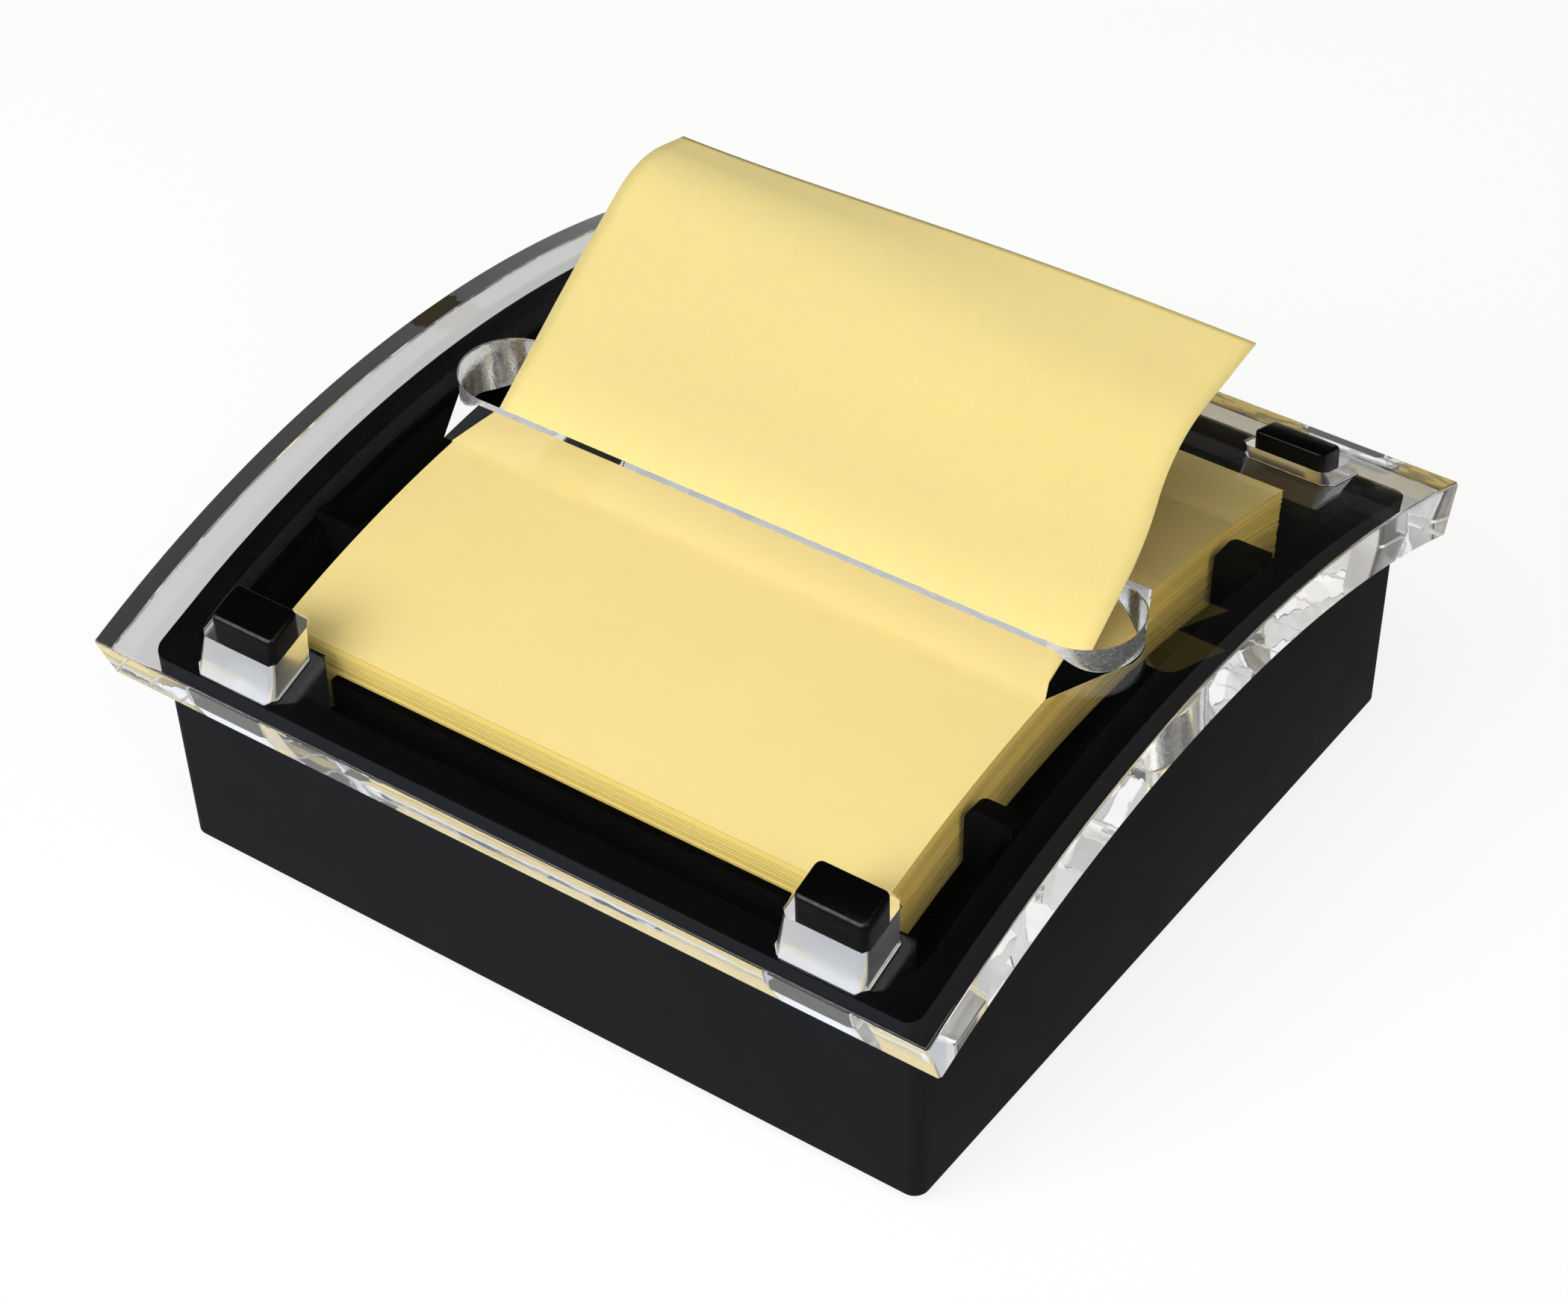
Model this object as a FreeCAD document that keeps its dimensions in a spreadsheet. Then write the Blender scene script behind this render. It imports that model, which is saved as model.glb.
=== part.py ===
import FreeCAD, Part

import math
import os
from dataclasses import dataclass

import Sketcher
from FreeCAD import Placement, Rotation, Vector

# Pop-up note dispenser: a weighted black base, a bowed pad of notes in a tray, and a clear arched lid
# that drops over four pegs. X runs along the note slot, Y to the rear, Z up, with Z = 0 on the table.

# Driving lengths in millimetres. The notes come first: the tray, the base and the lid are built round them.
LENGTHS = {
    # Pad of notes and the room round it
    "note_size": 76.2,
    "pad_thick": 8.0,
    "pad_headroom": 0.9,
    "pad_seat": 0.1,
    "pad_side_gap": 5.5,
    "pad_end_gap": 6.3,
    # Note that stands in the slot
    "note_thick": 0.3,
    "note_foot_y": 4.1,
    "note_foot_rise": 0.45,
    "note_lead": 12.0,
    "left_sweep_radius": 305.0,
    "left_curl_radius": 11.0,
    "left_tail": 4.0,
    "right_sweep_radius": 18.6,
    "right_curl_radius": 12.0,
    "right_tail": 10.4,
    # Clear lid: an arched plate of even thickness
    "lid_top": 40.1,
    "lid_thick": 6.4,
    "arch_radius": 138.0,
    "lid_side_overhang": 4.6,
    "lid_end_overhang": 5.6,
    "lid_gap": 0.3,
    # Note slot across the lid, flared underneath so that the notes feed into it
    "slot_width": 11.8,
    "slot_side_gap": 4.8,
    "slot_land": 2.2,
    "slot_flare": 4.0,
    "flare_side_gap": 0.5,
    # Pegs, the lid's holes over them and the pillars under them
    "peg_width": 8.6,
    "peg_depth": 4.5,
    "peg_inset": 3.1,
    "peg_corner": 0.8,
    "peg_rise": 1.7,
    "peg_edge": 0.4,
    "peg_root": 8.0,
    "peg_fit": 0.05,
    "hole_side_gap": 0.6,
    "hole_end_gap": 0.8,
    "pillar_side_margin": 1.4,
    "pillar_end_margin": 1.0,
    "pillar_side_gap": 2.2,
    # Base shell
    "base_corner": 6.0,
    "base_edge": 0.8,
    "base_wall": 2.4,
    "base_floor": 2.4,
    # Note tray
    "tray_gap": 0.3,
    "tray_wall": 1.6,
    "tray_wall_drop": 2.0,
    "tray_floor": 1.8,
    "tab_inset": 14.2,
    "tab_thick": 2.2,
    "tab_gap": 0.8,
    "tab_round": 1.7,
    "tab_side_gap": 0.7,
    "end_wall": 1.0,
    "end_wall_gap": 0.4,
    "end_wall_drop": 3.1,
    # Steel weight, the ribs that keep it in place and the tray's ribs that hold it down
    "weight_side_margin": 16.5,
    "weight_end_margin": 13.8,
    "weight_thick": 8.0,
    "weight_chamfer": 0.8,
    "weight_gap": 0.3,
    "rib_thick": 1.4,
    "rib_height": 3.0,
    "rib_length": 24.0,
    "hold_inset": 12.0,
    "hold_thick": 1.6,
    "hold_length": 36.0,
    # Screws that hold the tray, and the bosses they join
    "screw_side_inset": 7.5,
    "screw_diameter": 3.0,
    "screw_cover": 5.2,
    "screw_tip": 1.2,
    "screw_fit": 0.05,
    "head_diameter": 5.6,
    "head_height": 1.8,
    "head_edge": 0.6,
    "recess_gap": 0.5,
    "recess_depth": 2.2,
    "shank_gap": 0.2,
    "boss_wall": 1.7,
    "floor_boss_wall": 1.5,
    "floor_boss_height": 2.4,
    "pilot_spare": 2.0,
    # Rubber feet
    "foot_inset": 9.9,
    "foot_diameter": 9.6,
    "foot_stand": 0.8,
    "foot_recess": 1.0,
    "foot_edge": 0.4,
    "foot_gap": 0.15,
    # How far cuts run past the faces they open
    "overrun": 4.0,
}

# Angles in degrees.
ANGLES = {
    "base_draft_angle": 1.2,
    "hole_draft_angle": 4.0,
    "note_lean_angle": 36.5,
    "left_sweep_angle": -3.6,
    "left_curl_angle": -45.0,
    "right_sweep_angle": 27.5,
    "right_curl_angle": -52.5,
}


class Size:
    """A value together with the sheet expression that gives it."""

    def __init__(self, value, text):
        self.value = value
        self.text = text

    def __add__(self, other):
        other = sized(other)
        return Size(self.value + other.value, f"({self.text} + {other.text})")

    def __sub__(self, other):
        other = sized(other)
        return Size(self.value - other.value, f"({self.text} - {other.text})")

    def __mul__(self, other):
        other = sized(other)
        return Size(self.value * other.value, f"({self.text} * {other.text})")

    def __truediv__(self, other):
        other = sized(other)
        return Size(self.value / other.value, f"({self.text} / {other.text})")

    def __rsub__(self, other):
        return sized(other) - self

    def __radd__(self, other):
        return sized(other) + self

    def __neg__(self):
        return 0 - self


def sized(value):
    """Gives a plain number the form of a Size."""
    return value if isinstance(value, Size) else Size(float(value), str(value))


def root(size):
    """Square root of a Size."""
    return Size(math.sqrt(size.value), f"sqrt({size.text})")


def degrees(ratio):
    """An arc length over its radius, as an angle in degrees."""
    return Size(math.degrees(ratio.value), f"({ratio.text} * 180 / pi)")


def sine(angle):
    """Sine of an angle in degrees."""
    return Size(math.sin(math.radians(angle.value)), f"sin({angle.text})")


def cosine(angle):
    """Cosine of an angle in degrees."""
    return Size(math.cos(math.radians(angle.value)), f"cos({angle.text})")


class Sheet:
    """The document's sheet of sizes, read as attributes."""

    def __init__(self, doc):
        self.table = doc.addObject("Spreadsheet::Sheet", "sizes")
        for row, (name, value) in enumerate([*LENGTHS.items(), *ANGLES.items()], start=1):
            self.table.set(f"A{row}", name)
            self.table.set(f"B{row}", str(value))
            self.table.setAlias(f"B{row}", name)
        doc.recompute()

    def __getattr__(self, name):
        return Size(float(self.table.get(name)), f"sizes.{name}")


@dataclass
class Corner:
    """A corner of an outline; with a radius, the edge that leaves it is an arc."""

    x: object
    y: object
    radius: object = None
    centre_on_left: bool = True


def origin_plane(body, role):
    """One of the three planes of a body's own origin."""
    return next(feature for feature in body.Origin.OriginFeatures if feature.Role == role)


def sketch_on(body, name, role, height=None):
    """A sketch on one of the body's planes, moved along its normal where a height is given."""
    sketch = body.newObject("Sketcher::SketchObject", name)
    sketch.AttachmentSupport = [(origin_plane(body, role), "")]
    sketch.MapMode = "FlatFace"
    if height is not None:
        sketch.AttachmentOffset = Placement(Vector(0, 0, height.value), Rotation())
        sketch.setExpression("AttachmentOffset.Base.z", height.text)
    return sketch


def bind(sketch, constraint, size):
    """Adds a constraint whose value follows the sheet."""
    index = sketch.addConstraint(constraint)
    sketch.setExpression(f"Constraints[{index}]", size.text)


def pin(sketch, edge, end, x, y):
    """Ties a point of a sketch to its place; a bare zero puts it on the axis."""
    for kind, axis, place in (("DistanceX", -2, x), ("DistanceY", -1, y)):
        if isinstance(place, Size):
            bind(sketch, Sketcher.Constraint(kind, -1, 1, edge, end, place.value), place)
        else:
            sketch.addConstraint(Sketcher.Constraint("PointOnObject", edge, end, axis))


def arc_between(start, end, radius, centre_on_left):
    """An arc from start to end with its centre on the chosen side of that way."""
    chord = end - start
    half = chord.Length / 2
    offset = math.sqrt(max(radius * radius - half * half, 0))
    normal = Vector(-chord.y, chord.x, 0).normalize()
    centre = (start + end) / 2 + normal * (offset if centre_on_left else -offset)
    first, last = (start, end) if centre_on_left else (end, start)
    angles = [math.atan2(point.y - centre.y, point.x - centre.x) for point in (first, last)]
    if angles[1] <= angles[0]:
        angles[1] += 2 * math.pi
    return Part.ArcOfCircle(Part.Circle(centre, Vector(0, 0, 1), radius), angles[0], angles[1])


def outline(sketch, corners):
    """Draws a closed outline of lines and arcs whose corners and radii follow the sheet."""
    places = [Vector(sized(corner.x).value, sized(corner.y).value, 0) for corner in corners]
    first_ends, last_ends = [], []
    for number, corner in enumerate(corners):
        start, end = places[number], places[(number + 1) % len(places)]
        if corner.radius is None:
            edge = sketch.addGeometry(Part.LineSegment(start, end), False)
            ends = (1, 2)
        else:
            arc = arc_between(start, end, corner.radius.value, corner.centre_on_left)
            edge = sketch.addGeometry(arc, False)
            ends = (1, 2) if corner.centre_on_left else (2, 1)
            bind(sketch, Sketcher.Constraint("Radius", edge, corner.radius.value), corner.radius)
        first_ends.append((edge, ends[0]))
        last_ends.append((edge, ends[1]))
    for number, corner in enumerate(corners):
        sketch.addConstraint(Sketcher.Constraint("Coincident", *last_ends[number - 1], *first_ends[number]))
        pin(sketch, *first_ends[number], corner.x, corner.y)


def rectangle(sketch, x_low, x_high, y_low, y_high):
    """A plain rectangle between two corners."""
    outline(sketch, [
        Corner(x_low, y_low),
        Corner(x_high, y_low),
        Corner(x_high, y_high),
        Corner(x_low, y_high),
    ])


def rounded_rectangle(sketch, x, y, width, depth, radius):
    """A rectangle round a centre, with rounded corners."""
    left, right = x - width / 2, x + width / 2
    low, high = y - depth / 2, y + depth / 2
    outline(sketch, [
        Corner(left + radius, low),
        Corner(right - radius, low, radius),
        Corner(right, low + radius),
        Corner(right, high - radius, radius),
        Corner(right - radius, high),
        Corner(left + radius, high, radius),
        Corner(left, high - radius),
        Corner(left, low + radius, radius),
    ])


def cut_rectangle(sketch, x, y, width, depth, cut):
    """A rectangle round a centre, with its corners cut off at 45 degrees."""
    left, right = x - width / 2, x + width / 2
    low, high = y - depth / 2, y + depth / 2
    outline(sketch, [
        Corner(left + cut, low),
        Corner(right - cut, low),
        Corner(right, low + cut),
        Corner(right, high - cut),
        Corner(right - cut, high),
        Corner(left + cut, high),
        Corner(left, high - cut),
        Corner(left, low + cut),
    ])


def circle(sketch, x, y, diameter):
    """A circle whose centre and diameter follow the sheet."""
    middle = Vector(sized(x).value, sized(y).value, 0)
    edge = sketch.addGeometry(Part.Circle(middle, Vector(0, 0, 1), diameter.value / 2), False)
    bind(sketch, Sketcher.Constraint("Diameter", edge, diameter.value), diameter)
    pin(sketch, edge, 3, x, y)


def extrude(body, kind, name, sketch, length=None, symmetric=False, reverse=False, taper=None):
    """A pad or pocket; without a length it goes through everything, and a pocket must remove something."""
    doc = body.Document
    doc.recompute()
    before = body.Shape.Volume if not body.Shape.isNull() else 0
    feature = body.newObject(kind, name)
    feature.Profile = sketch
    if length is None:
        feature.Type = "ThroughAll"
    else:
        feature.Length = length.value
        feature.setExpression("Length", length.text)
    if symmetric:
        feature.SideType = "Symmetric"
    feature.Reversed = reverse
    if taper is not None:
        feature.TaperAngle = taper.value
        feature.setExpression("TaperAngle", taper.text)
    doc.recompute()
    change = body.Shape.Volume - before
    if change == 0 or (change > 0) == kind.endswith("Pocket"):
        raise ValueError(f"{name} changes the volume of {body.Label} by {change}")
    return feature


def pad(body, name, sketch, length, **options):
    """Adds material along the sketch's normal."""
    return extrude(body, "PartDesign::Pad", name, sketch, length, **options)


def pocket(body, name, sketch, length=None, **options):
    """Removes material against the sketch's normal, or along it where reversed."""
    return extrude(body, "PartDesign::Pocket", name, sketch, length, **options)


def revolve(body, name, sketch):
    """Turns a profile once round the sketch's upright axis."""
    feature = body.newObject("PartDesign::Revolution", name)
    feature.Profile = sketch
    feature.ReferenceAxis = (sketch, ["V_Axis"])
    feature.Angle = 360
    body.Document.recompute()
    return feature


def dress_edges(body, kind, name, faces_of_edges, size, size_property):
    """Fillets or chamfers every edge of the chosen faces of the body's last feature."""
    base = body.Tip
    chosen = []
    for number, edge in enumerate(base.Shape.Edges, start=1):
        if any(edge.isSame(other) for face in faces_of_edges(base.Shape) for other in face.OuterWire.Edges):
            chosen.append(f"Edge{number}")
    feature = body.newObject(kind, name)
    feature.Base = (base, chosen)
    setattr(feature, size_property, size.value)
    feature.setExpression(size_property, size.text)
    body.Document.recompute()
    return feature


def lowest_face(shape):
    """The face whose centre lies lowest."""
    return [min(shape.Faces, key=lambda face: face.CenterOfMass.z)]


def highest_face(shape):
    """The face whose centre lies highest."""
    return [max(shape.Faces, key=lambda face: face.CenterOfMass.z)]


def end_faces(shape):
    """The lowest and the highest face."""
    return lowest_face(shape) + highest_face(shape)


def new_body(doc, name):
    """An empty body with its own name and place."""
    body = doc.addObject("PartDesign::Body", name)
    body.Label = name
    body.Placement = Placement()
    return body


doc = FreeCAD.newDocument("note_dispenser")
sizes = Sheet(doc)

# Every curved face shares one axis, along X below the table.
arch_centre = sizes.lid_top - sizes.arch_radius
under_radius = sizes.arch_radius - sizes.lid_thick
seat_radius = under_radius - sizes.lid_gap
pad_radius = under_radius - sizes.pad_headroom
floor_radius = pad_radius - sizes.pad_thick - sizes.pad_seat
under_floor_radius = floor_radius - sizes.tray_floor
mid_floor_radius = floor_radius - sizes.tray_floor / 2

FRONT_REAR = (("front", -1), ("rear", 1))
LEFT_RIGHT = (("left", -1), ("right", 1))


def arch_height(radius, y):
    """Height of a concentric arch at a distance from the middle."""
    return arch_centre + root(radius * radius - y * y)


def band(sketch, outer, inner, half_depth):
    """An arched strip between two radii with upright ends."""
    outline(sketch, [
        Corner(-half_depth, arch_height(inner, half_depth), inner, False),
        Corner(half_depth, arch_height(inner, half_depth)),
        Corner(half_depth, arch_height(outer, half_depth), outer, True),
        Corner(-half_depth, arch_height(outer, half_depth)),
    ])


def above_arch(sketch, radius):
    """Everything over an arch, as far as the lid reaches."""
    outline(sketch, [
        Corner(-lid_half_depth, arch_height(radius, lid_half_depth), radius, False),
        Corner(lid_half_depth, arch_height(radius, lid_half_depth)),
        Corner(lid_half_depth, block_top + sizes.overrun),
        Corner(-lid_half_depth, block_top + sizes.overrun),
    ])


def four_places(x, y):
    """The same place in all four quarters."""
    return [(x * side, y * end) for _, end in FRONT_REAR for _, side in LEFT_RIGHT]


# Plan: the bowed pad, then the tray and the base round it, then the lid over the base
pad_middle_radius = pad_radius - sizes.pad_thick / 2
pad_half_width = sizes.note_size / 2
pad_half_depth = pad_middle_radius * sine(degrees(pad_half_width / pad_middle_radius))
inner_half_width = pad_half_width + sizes.pad_side_gap + sizes.tray_wall + sizes.tray_gap
inner_half_depth = pad_half_depth + sizes.pad_end_gap
base_half_width = inner_half_width + sizes.base_wall
base_half_depth = inner_half_depth + sizes.base_wall
lid_half_width = base_half_width + sizes.lid_side_overhang
lid_half_depth = base_half_depth + sizes.lid_end_overhang

# Pegs, holes and pillars
hole_half_width = sizes.peg_width / 2 + sizes.hole_side_gap
hole_half_depth = sizes.peg_depth / 2 + sizes.hole_end_gap
pillar_half_width = hole_half_width + sizes.pillar_side_margin
peg_x = inner_half_width - sizes.pillar_side_gap - pillar_half_width
peg_y = base_half_depth - sizes.peg_inset
pillar_face = peg_y - hole_half_depth - sizes.pillar_end_margin
socket_floor = arch_height(seat_radius, peg_y) - sizes.peg_root

# Levels in the base, and the places of the weight, the screws and the feet
shell_bottom = sizes.foot_stand
floor_top = shell_bottom + sizes.base_floor
boss_seat = floor_top + sizes.floor_boss_height
weight_top = floor_top + sizes.weight_thick
block_top = sizes.lid_top + sizes.overrun
head_seat = shell_bottom + sizes.recess_depth
weight_half_width = inner_half_width - sizes.weight_side_margin
weight_half_depth = inner_half_depth - sizes.weight_end_margin
hold_y = weight_half_depth - sizes.hold_inset
screw_x = inner_half_width - sizes.screw_side_inset
screw_end = arch_centre + under_floor_radius - sizes.screw_cover
recess_diameter = sizes.head_diameter + sizes.recess_gap * 2
shank_hole = sizes.screw_diameter + sizes.shank_gap * 2
foot_x = base_half_width - sizes.foot_inset
foot_y = base_half_depth - sizes.foot_inset


def make_lid(doc):
    """Arched plate with radial ends, the flared note slot and four drafted peg holes."""
    body = new_body(doc, "lid")
    inner_share = under_radius / sizes.arch_radius
    rise = root(sizes.arch_radius * sizes.arch_radius - lid_half_depth * lid_half_depth)
    arch = sketch_on(body, "lid_arch", "YZ_Plane")
    outline(arch, [
        Corner(-lid_half_depth * inner_share, arch_centre + rise * inner_share, under_radius, False),
        Corner(lid_half_depth * inner_share, arch_centre + rise * inner_share),
        Corner(lid_half_depth, arch_centre + rise, sizes.arch_radius, True),
        Corner(-lid_half_depth, arch_centre + rise),
    ])
    pad(body, "lid_plate", arch, lid_half_width * 2, symmetric=True)

    half_length, radius = pad_half_width + sizes.slot_side_gap, sizes.slot_width / 2
    slot = sketch_on(body, "note_slot_outline", "XY_Plane")
    outline(slot, [
        Corner(-half_length + radius, -radius),
        Corner(half_length - radius, -radius, radius),
        Corner(half_length, 0, radius),
        Corner(half_length - radius, radius),
        Corner(-half_length + radius, radius, radius),
        Corner(-half_length, 0, radius),
    ])
    pocket(body, "note_slot", slot, reverse=True)

    mouth = radius + sizes.slot_flare
    land_height = arch_height(sizes.arch_radius, radius) - sizes.slot_land
    mouth_height = arch_height(under_radius, mouth)
    below = mouth_height - sizes.overrun
    flare = sketch_on(body, "slot_flare_profile", "YZ_Plane")
    outline(flare, [
        Corner(-mouth, below),
        Corner(mouth, below),
        Corner(mouth, mouth_height),
        Corner(radius, land_height),
        Corner(-radius, land_height),
        Corner(-mouth, mouth_height),
    ])
    flare_length = (pad_half_width + sizes.flare_side_gap) * 2
    pocket(body, "slot_flare", flare, flare_length, symmetric=True)

    mouth_level = arch_height(sizes.arch_radius, peg_y - hole_half_depth)
    holes = sketch_on(body, "peg_hole_outlines", "XY_Plane", mouth_level)
    for x, y in four_places(peg_x, peg_y):
        rectangle(holes, x - hole_half_width, x + hole_half_width, y - hole_half_depth, y + hole_half_depth)
    pocket(body, "peg_holes", holes, sizes.lid_thick * 2, taper=sizes.hole_draft_angle)
    return body


def make_base_shell(doc):
    """Drafted tub with arched wall tops, shoulder pillars, peg sockets, bosses and recesses."""
    body = new_body(doc, "base_shell")
    footprint = sketch_on(body, "shell_footprint", "XY_Plane", shell_bottom)
    rounded_rectangle(footprint, 0, 0, base_half_width * 2, base_half_depth * 2, sizes.base_corner)
    pad(body, "shell_block", footprint, block_top - shell_bottom, taper=sizes.base_draft_angle)
    dress_edges(body, "PartDesign::Chamfer", "bottom_edge", lowest_face, sizes.base_edge, "Size")

    hollow = sketch_on(body, "hollow_outline", "XY_Plane", floor_top)
    inner_corner = sizes.base_corner - sizes.base_wall
    rounded_rectangle(hollow, 0, 0, inner_half_width * 2, inner_half_depth * 2, inner_corner)
    pocket(body, "hollow", hollow, reverse=True)

    pillars = sketch_on(body, "pillar_outlines", "XY_Plane", floor_top)
    pillar_back = inner_half_depth + sizes.base_wall / 2
    for _, end in FRONT_REAR:
        for _, side in LEFT_RIGHT:
            middle = peg_x * side
            low, high = sorted((pillar_face * end, pillar_back * end), key=lambda size: size.value)
            rectangle(pillars, middle - pillar_half_width, middle + pillar_half_width, low, high)
    pad(body, "pillars", pillars, block_top - floor_top)

    ribs = sketch_on(body, "weight_rib_outlines", "XY_Plane", floor_top)
    half_rib = sizes.rib_length / 2
    side_x = weight_half_width + sizes.weight_gap
    side_y = weight_half_depth + sizes.weight_gap
    rectangle(ribs, side_x, side_x + sizes.rib_thick, -half_rib, half_rib)
    rectangle(ribs, -side_x - sizes.rib_thick, -side_x, -half_rib, half_rib)
    rectangle(ribs, -half_rib, half_rib, side_y, side_y + sizes.rib_thick)
    rectangle(ribs, -half_rib, half_rib, -side_y - sizes.rib_thick, -side_y)
    pad(body, "weight_ribs", ribs, sizes.rib_height)

    bosses = sketch_on(body, "floor_boss_outlines", "XY_Plane", floor_top)
    for _, side in LEFT_RIGHT:
        circle(bosses, screw_x * side, 0, recess_diameter + sizes.floor_boss_wall * 2)
    pad(body, "floor_bosses", bosses, sizes.floor_boss_height)

    crown = sketch_on(body, "wall_top_arch", "YZ_Plane")
    above_arch(crown, seat_radius)
    pocket(body, "wall_tops", crown, lid_half_width * 2, symmetric=True)

    sockets = sketch_on(body, "peg_socket_outlines", "XY_Plane", socket_floor)
    clearance = sizes.peg_fit * 2
    for x, y in four_places(peg_x, peg_y):
        width, depth = sizes.peg_width + clearance, sizes.peg_depth + clearance
        cut_rectangle(sockets, x, y, width, depth, sizes.peg_corner)
    pocket(body, "peg_sockets", sockets, reverse=True)

    feet = sketch_on(body, "foot_recess_outlines", "XY_Plane", shell_bottom)
    for x, y in four_places(foot_x, foot_y):
        circle(feet, x, y, sizes.foot_diameter + sizes.foot_gap * 2)
    pocket(body, "foot_recesses", feet, sizes.foot_recess, reverse=True)

    heads = sketch_on(body, "screw_head_outlines", "XY_Plane", shell_bottom)
    shanks = sketch_on(body, "screw_shank_outlines", "XY_Plane", shell_bottom)
    for _, side in LEFT_RIGHT:
        circle(heads, screw_x * side, 0, recess_diameter)
        circle(shanks, screw_x * side, 0, shank_hole)
    pocket(body, "screw_head_recesses", heads, sizes.recess_depth, reverse=True)
    pocket(body, "screw_shank_holes", shanks, sizes.base_floor + sizes.floor_boss_height, reverse=True)
    return body


def make_note_tray(doc):
    """Arched floor between the pillars, with walls round the pad, guide tabs, screw bosses and ribs."""
    body = new_body(doc, "note_tray")
    half_width = inner_half_width - sizes.tray_gap
    half_depth = pillar_face - sizes.tray_gap
    tongue_half_depth = inner_half_depth - sizes.tray_gap
    tongue_half_width = peg_x - pillar_half_width - sizes.tray_gap

    floor = sketch_on(body, "tray_floor_arch", "YZ_Plane")
    band(floor, floor_radius, under_floor_radius, half_depth)
    pad(body, "tray_floor_plate", floor, half_width * 2, symmetric=True)

    tongue = sketch_on(body, "tray_tongue_arch", "YZ_Plane")
    band(tongue, floor_radius, under_floor_radius, tongue_half_depth)
    pad(body, "tray_tongues", tongue, tongue_half_width * 2, symmetric=True)

    for name, side in LEFT_RIGHT:
        inner_face = (half_width - sizes.tray_wall) * side
        wall = sketch_on(body, f"{name}_wall_arch", "YZ_Plane", inner_face)
        band(wall, seat_radius - sizes.tray_wall_drop, under_floor_radius, half_depth)
        pad(body, f"{name}_wall", wall, sizes.tray_wall, reverse=side < 0)

    end_face = pad_half_depth + sizes.end_wall_gap
    end_top = arch_height(pad_radius, pad_half_depth) - sizes.end_wall_drop
    end_foot = arch_height(mid_floor_radius, end_face + sizes.end_wall)
    for name, end in FRONT_REAR:
        end_wall = sketch_on(body, f"{name}_end_wall_outline", "XZ_Plane", end_face * -end)
        rectangle(end_wall, -tongue_half_width, tongue_half_width, end_foot, end_top)
        pad(body, f"{name}_end_wall", end_wall, sizes.end_wall, reverse=end > 0)

    tab_y = pad_half_depth - sizes.tab_inset
    tab_inner = pad_half_width + sizes.tab_side_gap
    tab_outer = half_width - sizes.tray_wall / 2
    tab_edge = tab_y + sizes.tab_thick / 2
    tab_top = arch_height(under_radius, tab_edge) - sizes.tab_gap
    tab_foot = arch_height(mid_floor_radius, tab_edge)
    for name, end in FRONT_REAR:
        tabs = sketch_on(body, f"{name}_tab_outlines", "XZ_Plane", tab_y * -end)
        outline(tabs, [
            Corner(tab_inner, tab_foot),
            Corner(tab_outer, tab_foot),
            Corner(tab_outer, tab_top),
            Corner(tab_inner + sizes.tab_round, tab_top, sizes.tab_round, True),
            Corner(tab_inner, tab_top - sizes.tab_round),
        ])
        outline(tabs, [
            Corner(-tab_outer, tab_foot),
            Corner(-tab_inner, tab_foot),
            Corner(-tab_inner, tab_top - sizes.tab_round, sizes.tab_round, True),
            Corner(-tab_inner - sizes.tab_round, tab_top),
            Corner(-tab_outer, tab_top),
        ])
        pad(body, f"{name}_tabs", tabs, sizes.tab_thick, symmetric=True)

    bosses = sketch_on(body, "screw_boss_outlines", "XY_Plane", boss_seat)
    pilots = sketch_on(body, "pilot_hole_outlines", "XY_Plane", boss_seat)
    for _, side in LEFT_RIGHT:
        circle(bosses, screw_x * side, 0, sizes.screw_diameter + sizes.boss_wall * 2)
        circle(pilots, screw_x * side, 0, sizes.screw_diameter + sizes.screw_fit * 2)
    pad(body, "screw_bosses", bosses, arch_height(mid_floor_radius, sizes.screw_diameter) - boss_seat)
    pocket(body, "pilot_holes", pilots, screw_end + sizes.pilot_spare - boss_seat, reverse=True)

    rib_foot = weight_top + sizes.weight_gap
    ribs = sketch_on(body, "hold_down_outlines", "XY_Plane", rib_foot)
    half_length, half_thick = sizes.hold_length / 2, sizes.hold_thick / 2
    for _, end in FRONT_REAR:
        middle = hold_y * end
        rectangle(ribs, -half_length, half_length, middle - half_thick, middle + half_thick)
    pad(body, "hold_down_ribs", ribs, arch_height(mid_floor_radius, hold_y) - rib_foot)
    return body


def make_weight_plate(doc):
    """Steel plate with chamfered edges, lying on the base's floor."""
    body = new_body(doc, "weight_plate")
    face = sketch_on(body, "weight_outline", "XY_Plane", floor_top)
    rectangle(face, -weight_half_width, weight_half_width, -weight_half_depth, weight_half_depth)
    pad(body, "weight_block", face, sizes.weight_thick)
    dress_edges(body, "PartDesign::Chamfer", "weight_edges", end_faces, sizes.weight_chamfer, "Size")
    return body


def make_peg(doc, name, x, y):
    """Upright peg with cut corners and a top that follows the lid's arch."""
    body = new_body(doc, name)
    section = sketch_on(body, f"{name}_section", "XY_Plane", socket_floor)
    cut_rectangle(section, x, y, sizes.peg_width, sizes.peg_depth, sizes.peg_corner)
    pad(body, f"{name}_stem", section, block_top - socket_floor)
    crown = sketch_on(body, f"{name}_top_arch", "YZ_Plane")
    above_arch(crown, sizes.arch_radius + sizes.peg_rise)
    pocket(body, f"{name}_top", crown, lid_half_width * 2, symmetric=True)
    dress_edges(body, "PartDesign::Chamfer", f"{name}_top_edge", highest_face, sizes.peg_edge, "Size")
    return body


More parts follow.
